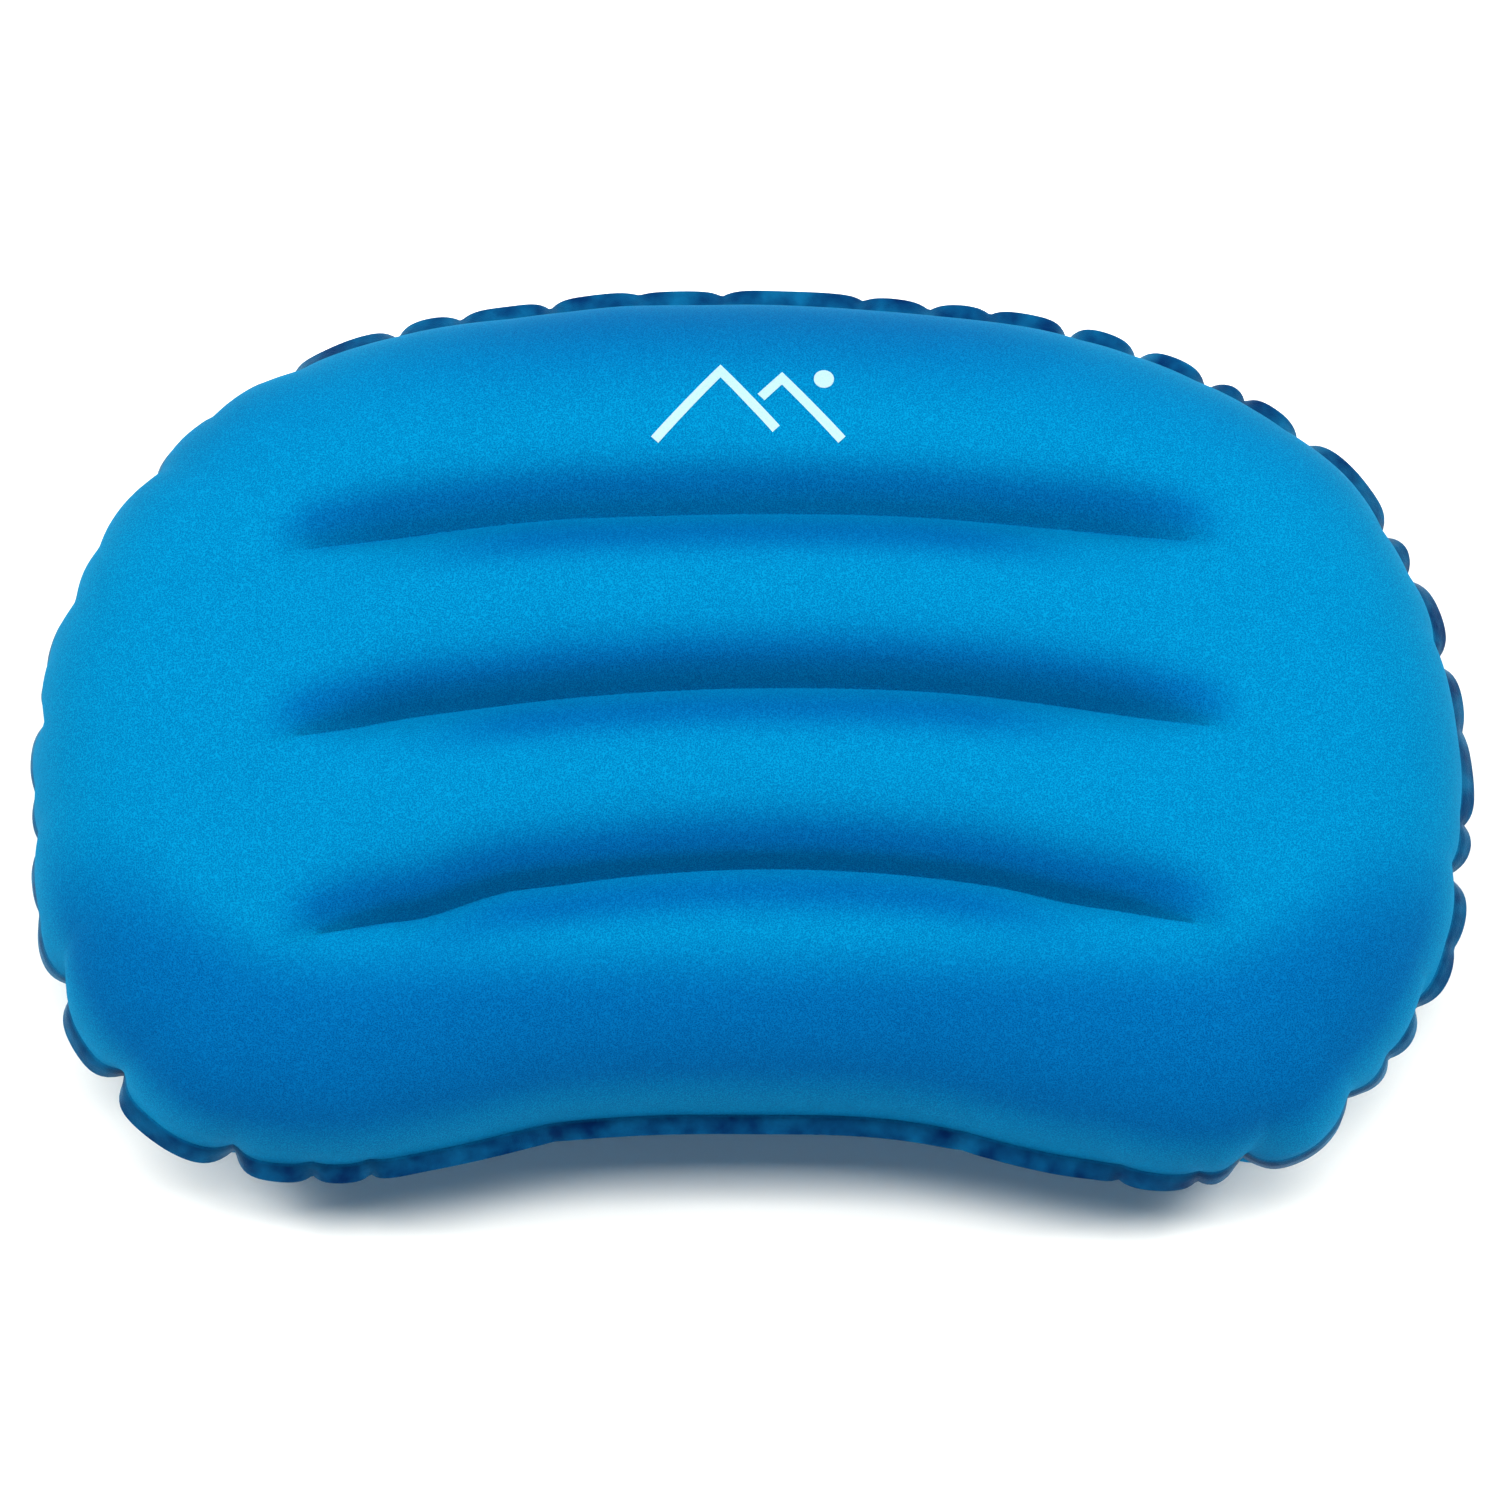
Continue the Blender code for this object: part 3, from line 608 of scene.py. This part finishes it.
def knit_material(name, base, deep, bright, rim=True):
    m, nt, bsdf = shader(name)
    link = nt.links.new
    coords = node(nt, "ShaderNodeTexCoord")
    # fine loops of the knit
    fine = node(nt, "ShaderNodeTexNoise", Scale=3200.0, Detail=2.0, Roughness=0.65)
    link(coords.outputs["Object"], fine.inputs["Vector"])
    cells = node(nt, "ShaderNodeTexVoronoi", Scale=2100.0)
    link(coords.outputs["Object"], cells.inputs["Vector"])
    cloud = node(nt, "ShaderNodeTexNoise", Scale=70.0, Detail=4.0, Roughness=0.6)
    link(coords.outputs["Object"], cloud.inputs["Vector"])
    mix = node(nt, "ShaderNodeMix", data_type="FLOAT")
    mix.inputs[0].default_value = 0.45
    link(fine.outputs["Fac"], mix.inputs[2])
    link(cells.outputs["Distance"], mix.inputs[3])
    grain = node(nt, "ShaderNodeMapRange")
    grain.inputs["From Min"].default_value = 0.30
    grain.inputs["From Max"].default_value = 0.62
    link(mix.outputs[0], grain.inputs["Value"])
    soft = node(nt, "ShaderNodeMix", data_type="FLOAT")
    soft.inputs[0].default_value = 0.10
    link(grain.outputs["Result"], soft.inputs[2])
    link(cloud.outputs["Fac"], soft.inputs[3])
    ramp = node(nt, "ShaderNodeValToRGB")
    ramp.color_ramp.elements[0].color = (*deep, 1)
    ramp.color_ramp.elements[0].position = 0.05
    ramp.color_ramp.elements[1].color = (*bright, 1)
    ramp.color_ramp.elements[1].position = 0.95
    middle = ramp.color_ramp.elements.new(0.5)
    middle.color = (*base, 1)
    link(soft.outputs[0], ramp.inputs["Fac"])
    # painted shade: the per-point value darkens the knit colour, more in green than in blue, beside the creases and
    # near the edges
    painted_shade = node(nt, "ShaderNodeAttribute", attribute_name="painted_shade")
    tone = node(nt, "ShaderNodeMix", data_type="RGBA", blend_type="MULTIPLY")
    tone.inputs[0].default_value = 1.0
    shade = node(nt, "ShaderNodeValToRGB")
    shade.color_ramp.elements[0].color = (0.9, 0.38, 0.68, 1)
    shade.color_ramp.elements[1].color = (1.0, 1.0, 1.0, 1)
    link(painted_shade.outputs["Fac"], shade.inputs["Fac"])
    link(ramp.outputs["Color"], tone.inputs[6])
    link(shade.outputs["Color"], tone.inputs[7])
    bump = node(nt, "ShaderNodeBump", Strength=0.35, Distance=0.00018)
    link(grain.outputs["Result"], bump.inputs["Height"])
    link(bump.outputs["Normal"], bsdf.inputs["Normal"])
    bsdf.inputs["Specular IOR Level"].default_value = 0.03
    bsdf.inputs["Specular Tint"].default_value = (0.01, 0.78, 0.62, 1)
    bsdf.inputs["Sheen Weight"].default_value = 0.16
    bsdf.inputs["Sheen Roughness"].default_value = 0.40
    bsdf.inputs["Sheen Tint"].default_value = (0.0, 0.62, 0.95, 1)
    if rim:
        dist = node(nt, "ShaderNodeAttribute", attribute_name="rim_distance")
        weld = node(nt, "ShaderNodeMapRange", clamp=True)
        weld.inputs["From Min"].default_value = 0.3 * MM
        weld.inputs["From Max"].default_value = -0.9 * MM
        link(dist.outputs["Fac"], weld.inputs["Value"])
        patch = node(nt, "ShaderNodeTexNoise", Scale=110.0, Detail=3.0, Roughness=0.5)
        link(coords.outputs["Object"], patch.inputs["Vector"])
        weld_ramp = node(nt, "ShaderNodeValToRGB")
        weld_ramp.color_ramp.elements[0].color = (0.0018, 0.028, 0.105, 1)
        weld_ramp.color_ramp.elements[0].position = 0.3
        weld_ramp.color_ramp.elements[1].color = (0.006, 0.125, 0.245, 1)
        weld_ramp.color_ramp.elements[1].position = 0.7
        link(patch.outputs["Fac"], weld_ramp.inputs["Fac"])
        colour = node(nt, "ShaderNodeMix", data_type="RGBA")
        link(weld.outputs["Result"], colour.inputs[0])
        link(tone.outputs[2], colour.inputs[6])
        link(weld_ramp.outputs["Color"], colour.inputs[7])
        link(colour.outputs[2], bsdf.inputs["Base Color"])
        rough = node(nt, "ShaderNodeMapRange")
        rough.inputs["To Min"].default_value = 0.62
        rough.inputs["To Max"].default_value = 0.36
        link(weld.outputs["Result"], rough.inputs["Value"])
        link(rough.outputs["Result"], bsdf.inputs["Roughness"])
        gloss = node(nt, "ShaderNodeMapRange")
        gloss.inputs["To Min"].default_value = 0.03
        gloss.inputs["To Max"].default_value = 0.10
        link(weld.outputs["Result"], gloss.inputs["Value"])
        link(gloss.outputs["Result"], bsdf.inputs["Specular IOR Level"])
    else:
        link(tone.outputs[2], bsdf.inputs["Base Color"])
        bsdf.inputs["Roughness"].default_value = 0.62
    return m


def plain(name, colour, roughness, scale=900.0, strength=0.12):
    """Moulded rubber or plastic with a fine surface grain and slight wear."""
    m, nt, bsdf = shader(name)
    coords = node(nt, "ShaderNodeTexCoord")
    tex = node(nt, "ShaderNodeTexNoise", Scale=scale, Detail=4.0, Roughness=0.6)
    nt.links.new(coords.outputs["Object"], tex.inputs["Vector"])
    ramp = node(nt, "ShaderNodeValToRGB")
    ramp.color_ramp.elements[0].color = (*[c * 0.8 for c in colour], 1)
    ramp.color_ramp.elements[1].color = (*[min(1, c * 1.25) for c in colour], 1)
    nt.links.new(tex.outputs["Fac"], ramp.inputs["Fac"])
    nt.links.new(ramp.outputs["Color"], bsdf.inputs["Base Color"])
    spread = node(nt, "ShaderNodeMapRange")
    spread.inputs["To Min"].default_value = roughness - 0.07
    spread.inputs["To Max"].default_value = roughness + 0.07
    nt.links.new(tex.outputs["Fac"], spread.inputs["Value"])
    nt.links.new(spread.outputs["Result"], bsdf.inputs["Roughness"])
    bump = node(nt, "ShaderNodeBump", Strength=strength, Distance=0.0001)
    nt.links.new(tex.outputs["Fac"], bump.inputs["Height"])
    nt.links.new(bump.outputs["Normal"], bsdf.inputs["Normal"])
    return m


KNIT_FACE = knit_material("knit_face_fabric", (0.0007, 0.184, 0.348), (0.0004, 0.134, 0.282),
                          (0.0018, 0.248, 0.426))
KNIT_BACK = knit_material("knit_back_fabric", (0.0007, 0.170, 0.326), (0.0004, 0.124, 0.264),
                          (0.0018, 0.226, 0.398))
FILM = plain("tpu_film_clear", (0.55, 0.62, 0.66), 0.35)
VALVE_DARK = plain("valve_tpu_dark", (0.028, 0.031, 0.036), 0.45)
VALVE_CAP = plain("valve_cap_tpu", (0.055, 0.060, 0.068), 0.42)
INK = plain("emblem_ink", (0.335, 0.475, 0.52), 0.6, 2400.0, 0.3)
SILICONE = plain("valve_silicone", (0.72, 0.74, 0.74), 0.5)

# ======================================================================================== covers
face_cover = build_cover("face_panel_knit")
face_cover.data.materials.append(KNIT_FACE)
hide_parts("top_panel")
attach(face_cover, "pillow")

back_cover = build_cover("back_panel_knit", back=True)
back_cover.data.materials.append(KNIT_BACK)
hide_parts("bottom_panel")
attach(back_cover, "pillow")

# ==================================================================================== tie baffles
def surface_of(ob):
    dg = bpy.context.evaluated_depsgraph_get()
    return BVHTree.FromObject(ob, dg)


FACE_SKIN = surface_of(face_cover)
BACK_SKIN = surface_of(back_cover)


def hit_z(tree, x, y, up):
    """Height of a skin's inner face, seen from inside the pillow."""
    hit = tree.ray_cast(Vector((x, y, SEAM_Z)), Vector((0, 0, 1 if up else -1)))
    return hit[0].z if hit[0] else SEAM_Z


def build_tie(name, k):
    """A film strip between the two skins: upright web, and a welded foot along each crease."""
    sections = []
    xs = np.arange(-0.129, 0.1291, 0.002)
    for x in xs:
        y = float(crease_y(k, x))
        ends = []
        for up in (True, False):
            sign = 1 if up else -1
            pts = []
            for off in (-3.2, -1.6, 0.0, 1.6, 3.2):
                z = hit_z(FACE_SKIN if up else BACK_SKIN, x, y + off * MM, up)
                pts.append(Vector((x, y + off * MM, z - sign * 0.10 * MM)))
            ends.append((pts, sign))
        sections.append(ends)
    rows = []
    for ends in sections:
        (top, _), (low, _) = ends
        t = 0.30 * MM
        w = 0.20 * MM
        under = [q - Vector((0, 0, t)) for q in top]
        over = [q + Vector((0, 0, t)) for q in low]
        web_t = [Vector((top[2].x, top[2].y + d, top[2].z - t - 0.5 * MM)) for d in (w, -w)]
        web_l = [Vector((low[2].x, low[2].y + d, low[2].z + t + 0.5 * MM)) for d in (w, -w)]
        ring = top + under[:2:-1] + [web_t[0]] + [web_l[0]] + over[3:] + low[::-1] + over[:2] + [web_l[1]]
        ring += [web_t[1]] + under[1::-1]
        rows.append(ring)
    n = len(rows[0])
    co = [p for ring in rows for p in ring]
    faces = []
    for r in range(len(rows) - 1):
        for i in range(n):
            j = (i + 1) % n
            faces.append((r * n + i, (r + 1) * n + i, (r + 1) * n + j, r * n + j))
    faces.append(tuple(range(n)))
    faces.append(tuple(reversed(range((len(rows) - 1) * n, len(rows) * n))))
    ob = link_mesh(name, co, faces)
    bm = bmesh.new()
    bm.from_mesh(ob.data)
    bmesh.ops.recalc_face_normals(bm, faces=bm.faces)
    bmesh.ops.triangulate(bm, faces=[f for f in bm.faces if len(f.verts) > 4])
    bm.to_mesh(ob.data)
    bm.free()
    smooth_shade(ob, 30)
    return ob


for k, which in enumerate(("front", "middle", "rear")):
    tie = build_tie(f"tie_film_{which}", k)
    tie.data.materials.append(FILM)
    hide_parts(f"baffle_{which}")
    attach(tie, "pillow")

# ========================================================================================= emblem
def stroke(path, width, step=0.7):
    """A mitred band along a path, in millimetres, as rows of points across it."""
    p = [Vector(q) for q in path]
    rows = []
    corners = []
    for i, q in enumerate(p):
        a = (q - p[i - 1]).normalized() if i else (p[1] - q).normalized()
        b = (p[i + 1] - q).normalized() if i + 1 < len(p) else a
        m = Vector((-(a + b).y, (a + b).x)).normalized()
        corners.append((q, m / max(0.35, m.dot(Vector((-b.y, b.x))))))
    for (q0, m0), (q1, m1) in zip(corners[:-1], corners[1:]):
        n = max(2, int((q1 - q0).length / step))
        for j in range(n + (1 if q1 is p[-1] or (q1 - p[-1]).length < 1e-9 else 0)):
            t = j / n
            q, m = q0.lerp(q1, t), m0.lerp(m1, t)
            rows.append([q + m * width * c for c in (-0.5, -0.25, 0, 0.25, 0.5)])
    return rows


def emblem():
    """Two peaks and a dot: a plain print on the rear tube."""
    co, faces = [], []
    for path, width in (([(-29, -11), (-9, 11.6), (8, -7.6)], 3.0),
                        ([(3.4, 2.6), (9.8, 9.0), (28, -11)], 3.0)):
        rows = stroke(path, width)
        base = len(co)
        for r in rows:
            co += [(q.x, q.y) for q in r]
        for r in range(len(rows) - 1):
            for i in range(4):
                a = base + r * 5 + i
                faces.append((a, a + 5, a + 6, a + 1))
    base = len(co)
    cx, cy, rad = 22.6, 8.8, 3.1
    co.append((cx, cy))
    for r in (1, 2, 3, 4):
        for i in range(32):
            a = 2 * math.pi * i / 32
            co.append((cx + rad * r / 4 * math.cos(a), cy + rad * r / 4 * math.sin(a)))
    for i in range(32):
        j = (i + 1) % 32
        faces.append((base, base + 1 + i, base + 1 + j))
        for r in range(3):
            a, b = base + 1 + r * 32, base + 1 + (r + 1) * 32
            faces.append((a + i, b + i, b + j, a + j))
    points = []
    for x, y in co:
        wx, wy = EMBLEM_AT[0] + x * MM, EMBLEM_AT[1] + y * MM
        hit = FACE_SKIN.ray_cast(Vector((wx, wy, 0.3)), Vector((0, 0, -1)))
        points.append(hit[0] + hit[1] * 0.03 * MM)
    ob = link_mesh("peaks_emblem_print", points, faces)
    bm = bmesh.new()
    bm.from_mesh(ob.data)
    bmesh.ops.recalc_face_normals(bm, faces=bm.faces)
    if sum(f.normal.z for f in bm.faces) < 0:
        bmesh.ops.reverse_faces(bm, faces=bm.faces)
    for f in list(bm.faces):
        if f.normal.z < 0:
            f.normal_flip()
    bm.to_mesh(ob.data)
    bm.free()
    t = ob.modifiers.new("ink", "SOLIDIFY")
    t.thickness = 0.09 * MM
    t.offset = 1
    apply_modifiers(ob)
    smooth_shade(ob, 40)
    return ob


EMBLEM_AT = (0.6 * MM, 91.0 * MM)
print_piece = emblem()
print_piece.data.materials.append(INK)
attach(print_piece, "pillow")


# ========================================================================================== valve
def rounded(profile, radius):
    """The closed profile with each corner off the axis rounded, in millimetres."""
    out = []
    n = len(profile)
    for i, p in enumerate(profile):
        a, b, c = Vector(profile[i - 1]), Vector(p), Vector(profile[(i + 1) % n])
        if b.x < 1e-6:
            out.append(tuple(b))
            continue
        r = min(radius, 0.42 * (a - b).length, 0.42 * (c - b).length)
        s0, s1 = b + (a - b).normalized() * r, b + (c - b).normalized() * r
        for t in (0.0, 0.25, 0.5, 0.75, 1.0):
            out.append(tuple((1 - t) ** 2 * s0 + 2 * t * (1 - t) * b + t * t * s1))
    return out


def turned(name, profile, radius=0.25, segments=96):
    pts = rounded(profile, radius)
    bm = bmesh.new()
    rings, ids = [], []
    for r, w in pts:
        if r < 1e-6:
            ids.append([bm.verts.new((0, 0, w * MM))])
        else:
            ids.append([bm.verts.new((r * MM * math.cos(2 * math.pi * i / segments),
                                      r * MM * math.sin(2 * math.pi * i / segments), w * MM))
                        for i in range(segments)])
    n = len(ids)
    for k in range(n):
        a, b = ids[k], ids[(k + 1) % n]
        if len(a) == 1 and len(b) == 1:
            continue
        for i in range(segments):
            j = (i + 1) % segments
            if len(a) == 1:
                bm.faces.new((a[0], b[j], b[i]))
            elif len(b) == 1:
                bm.faces.new((a[i], a[j], b[0]))
            else:
                bm.faces.new((a[i], a[j], b[j], b[i]))
    bmesh.ops.recalc_face_normals(bm, faces=bm.faces)
    mesh = bpy.data.meshes.new(name)
    bm.to_mesh(mesh)
    bm.free()
    ob = bpy.data.objects.new(name, mesh)
    bpy.context.scene.collection.objects.link(ob)
    return ob


def slab(name, u0, u1, v_half, w0, w1, ends=(0.0, 0.0), soft=0.18):
    """A flat strap from u0 to u1 with rounded ends and softened edges, in millimetres."""
    outline = []
    for u, r, side in ((u1, ends[1], 1), (u0, ends[0], -1)):
        r = min(r, v_half)
        for q in range(7):
            a = math.pi / 2 * q / 6
            if side > 0:
                outline.append((u - r + r * math.sin(a), v_half - r + r * math.cos(a)))
            else:
                outline.append((u + r - r * math.sin(a), -(v_half - r + r * math.cos(a))))
        for q in range(7):
            a = math.pi / 2 * q / 6
            if side > 0:
                outline.append((u - r + r * math.cos(a), -(v_half - r + r * math.sin(a))))
            else:
                outline.append((u + r - r * math.cos(a), v_half - r + r * math.sin(a)))
    bm = bmesh.new()
    clean = [outline[0]]
    for q in outline[1:]:
        if math.dist(q, clean[-1]) > 1e-3 and math.dist(q, outline[0]) > 1e-3:
            clean.append(q)
    low = [bm.verts.new((u * MM, v * MM, w0 * MM)) for u, v in clean]
    face = bm.faces.new(low)
    up = bmesh.ops.extrude_face_region(bm, geom=[face])["geom"]
    for g in up:
        if isinstance(g, bmesh.types.BMVert):
            g.co.z = w1 * MM
    bmesh.ops.recalc_face_normals(bm, faces=bm.faces)
    flat = [e for e in bm.edges if abs(e.verts[0].co.z - e.verts[1].co.z) < 1e-7]
    bmesh.ops.bevel(bm, geom=flat, offset=min(soft, 0.4 * (w1 - w0)) * MM, segments=2, affect="EDGES",
                    profile=0.5, clamp_overlap=True)
    bmesh.ops.recalc_face_normals(bm, faces=bm.faces)
    mesh = bpy.data.meshes.new(name)
    bm.to_mesh(mesh)
    bm.free()
    ob = bpy.data.objects.new(name, mesh)
    bpy.context.scene.collection.objects.link(ob)
    return ob


def volume_of(mesh):
    bm = bmesh.new()
    bm.from_mesh(mesh)
    v = abs(bm.calc_volume())
    bm.free()
    return v


def weld(ob, tools):
    """Join each tool to the piece, and stop if a join would lose any of it."""
    for t in tools:
        before = ob.data.copy()
        least = volume_of(before) + 0.1 * volume_of(t.data)
        for solver in ("EXACT", "MANIFOLD"):
            b = ob.modifiers.new(t.name, "BOOLEAN")
            b.operation = "UNION"
            b.object = t
            b.solver = solver
            apply_modifiers(ob)
            if volume_of(ob.data) > least:
                break
            ob.data = before.copy()
        else:
            raise RuntimeError(f"{ob.name}: {t.name} could not be joined")
        bpy.data.objects.remove(t)
    return ob


def seat(ob, body, node_name, mat):
    ob.data.transform(VALVE_M)
    smooth_shade(ob, 38)
    ob.data.materials.clear()
    ob.data.materials.append(mat)
    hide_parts(node_name)
    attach(ob, body)
    return ob


# base: neck with a bead, weld flange with two thin ribs, tapered barrel
base = turned("valve_base_moulding", [
    (13.1, 2.4), (13.1, 2.0), (12.4, 1.9), (12.4, -0.8), (14.6, -0.8), (14.8, -1.0), (15.0, -0.8), (16.6, -0.8),
    (16.8, -1.0), (17.0, -0.8), (18.5, -0.8), (18.5, -1.9), (12.4, -2.1), (11.4, -8.0), (9.8, -8.0), (9.8, 2.4)], 0.22)
seat(base, "pillow", "valve_base", VALVE_DARK)

# retaining ring with the lug and the raised lip that the strap folds from
ring = turned("tether_ring_moulding", [(14.6, 1.7), (14.6, 0.3), (12.75, 0.3), (12.75, 1.7)], 0.35)
weld(ring, [slab("lug", 13.6, 17.4, 3.6, 0.32, 1.68, (0.4, 1.6)),
            slab("lip", 14.3, 16.9, 3.3, 1.2, 2.05, (0.3, 1.2))])
seat(ring, "pillow", "tether_ring", VALVE_DARK)

# plug: dished disc with a rim, tapered skirt with a seal bead, port with a spoked seat, strap, tab
plug = turned("deflate_plug_moulding", [
    (12.6, 3.9), (12.6, 3.0), (12.2, 2.7), (9.5, 2.7), (9.2, 0.4), (9.35, 0.0), (9.05, -0.4), (8.1, -5.5),
    (4.4, -5.5), (4.4, -4.0), (5.8, -3.4), (5.8, 4.3), (9.0, 4.3), (9.2, 4.1), (9.5, 4.1), (9.7, 4.3),
    (12.2, 4.3)], 0.2)
roll = turned("fold_roll", [(0, 3.35), (0.56, 3.35), (0.56, -3.35), (0, -3.35)], 0.15, 28)
roll.data.transform(Matrix.Translation((14.9 * MM, 0, 2.7 * MM)) @ Matrix.Rotation(math.radians(90), 4, "X"))
tools = [slab("strap", 11.2, 14.9, 3.4, 2.7, 3.28, (0.3, 0.1), 0.12),
         roll,
         slab("tab", -16.2, -11.4, 4.6, 2.9, 4.1, (2.6, 0.4), 0.3)]
for n in range(3):
    tools.append(slab(f"tab_rib_{n}", -15.3 + 1.05 * n, -14.8 + 1.05 * n, 2.5 + 0.35 * n, 3.9, 4.42, (0.24, 0.24), 0.15))
for n in range(3):
    spoke = slab(f"spoke_{n}", 1.75, 5.1, 0.55, -5.26, -4.26, (0.1, 0.1), 0.15)
    spoke.data.transform(Matrix.Rotation(math.radians(120 * n + 31.4), 4, "Z"))
    tools.append(spoke)
tools.append(turned("hub", [(2.1, -4.1), (2.1, -5.4), (1.4, -5.4), (1.4, -4.1)], 0.12, 48))
weld(plug, tools)
seat(plug, "deflate_plug", "deflate_plug", VALVE_DARK)

# one-way flap with its headed stem
flap = turned("check_flap_silicone", [(0, -2.0), (2.0, -2.1), (2.0, -2.6), (1.0, -2.7), (1.0, -5.9),
                                      (5.4, -5.9), (5.4, -6.3), (0, -6.5)], 0.12, 72)
seat(flap, "check_flap", "check_flap", SILICONE)

# cap: dished top, ribbed stopper, strap and ribbed pull tab
cap = turned("inflate_cap_moulding", [
    (0, 5.75), (4.6, 5.75), (5.4, 6.1), (7.6, 6.1), (8.0, 5.7), (8.0, 4.9), (7.7, 4.6), (5.5, 4.6), (5.2, 2.9),
    (5.32, 2.6), (5.12, 2.3), (4.9, 0.8), (0, 0.8)], 0.2)
tools = [slab("cap_strap", -10.4, -6.8, 2.4, 4.9, 5.5, (0.3, 0.3), 0.12),
         slab("cap_tab", 7.0, 10.6, 3.2, 4.8, 5.8, (0.4, 2.0), 0.25)]
for n in range(3):
    tools.append(slab(f"cap_rib_{n}", 8.3 + 0.75 * n, 8.65 + 0.75 * n, 2.3 - 0.3 * n, 5.6, 6.06, (0.16, 0.16), 0.12))
weld(cap, tools)
seat(cap, "inflate_cap", "inflate_cap", VALVE_CAP)

# ================================================================================ stage and light
bpy.ops.mesh.primitive_plane_add(size=8.0, location=(0, 0, 0))
floor = bpy.context.object
floor.name = "studio_floor"
fm, fnt, fb = shader("studio_floor_pale")
fb.inputs["Base Color"].default_value = (0.98, 0.945, 0.875, 1)
# the sweep turns into a lit white backdrop away from the table
place = node(fnt, "ShaderNodeTexCoord")
far = node(fnt, "ShaderNodeVectorMath", operation="LENGTH")
fnt.links.new(place.outputs["Object"], far.inputs[0])
rise = node(fnt, "ShaderNodeMapRange", clamp=True)
rise.inputs["From Min"].default_value = 0.70
rise.inputs["From Max"].default_value = 1.90
rise.inputs["To Min"].default_value = 0.0
rise.inputs["To Max"].default_value = 0.95
fnt.links.new(far.outputs["Value"], rise.inputs["Value"])
fb.inputs["Emission Color"].default_value = (1.0, 1.0, 1.0, 1)
fnt.links.new(rise.outputs["Result"], fb.inputs["Emission Strength"])
fb.inputs["Roughness"].default_value = 0.9
fb.inputs["Specular IOR Level"].default_value = 0.1
floor.data.materials.append(fm)

world = bpy.data.worlds.new("studio")
bpy.context.scene.world = world
world.use_nodes = True
wnt = world.node_tree
sky = node(wnt, "ShaderNodeTexCoord")
axes = node(wnt, "ShaderNodeSeparateXYZ")
wnt.links.new(sky.outputs["Generated"], axes.inputs[0])
band = node(wnt, "ShaderNodeValToRGB")
band.color_ramp.elements[0].position = 0.17
band.color_ramp.elements[0].color = (0.96, 0.96, 0.96, 1)
band.color_ramp.elements[1].position = 0.32
band.color_ramp.elements[1].color = (0.095, 0.115, 0.135, 1)
wnt.links.new(axes.outputs["Z"], band.inputs["Fac"])
wnt.links.new(band.outputs["Color"], wnt.nodes["Background"].inputs["Color"])
wnt.nodes["Background"].inputs["Strength"].default_value = 1.0


def area_light(name, at, aim, size, power, colour=(1, 1, 1)):
    data = bpy.data.lights.new(name, "AREA")
    data.shape = "RECTANGLE"
    data.size, data.size_y = size
    data.energy = power
    data.color = colour
    ob = bpy.data.objects.new(name, data)
    bpy.context.scene.collection.objects.link(ob)
    ob.location = at
    ob.rotation_euler = (Vector(aim) - Vector(at)).to_track_quat("-Z", "Y").to_euler()
    return ob


area_light("key_softbox", (0.0, 0.17, 1.90), (0, 0, 0.05), (1.6, 0.5), 31)
area_light("head_strip", (0.0, 1.26, 1.60), (0, 0, 0.05), (2.0, 0.3), 4)
area_light("left_softbox", (-1.36, 0.40, 1.34), (0, 0, 0.05), (0.6, 0.6), 26)
area_light("right_softbox", (1.36, 0.40, 1.34), (0, 0, 0.05), (0.6, 0.6), 26)
area_light("neck_fill", (0.0, -2.0, 0.42), (0, 0, 0.05), (1.8, 0.3), 14, (0.66, 0.70, 1.0))


view = bpy.context.scene.view_settings
view.view_transform = "Standard"
view.look = "None"
view.exposure = -0.06
view.gamma = 0.78

# ======================================================================================== camera
ELEVATION = math.radians(78.0)
DISTANCE = 1.65
MM_PER_PX = 0.31 * MM
sin_e, cos_e = math.sin(ELEVATION), math.cos(ELEVATION)
target = Vector((2 * MM_PER_PX, 0, 0)) + Vector((0, -0.0029, SEAM_Z)) - Vector((0, sin_e, cos_e)) * (10 * MM_PER_PX)
cam_data = bpy.data.cameras.new("photo_camera")
cam_data.sensor_width = 36.0
cam_data.lens = 36.0 * (DISTANCE / MM_PER_PX) / 1500.0
cam = bpy.data.objects.new("photo_camera", cam_data)
bpy.context.scene.collection.objects.link(cam)
back_dir = Vector((0, -cos_e, sin_e))
cam.location = target + back_dir * DISTANCE
cam.rotation_euler = (-back_dir).to_track_quat("-Z", "Y").to_euler()
cam_data.clip_start = 0.05
bpy.context.scene.camera = cam
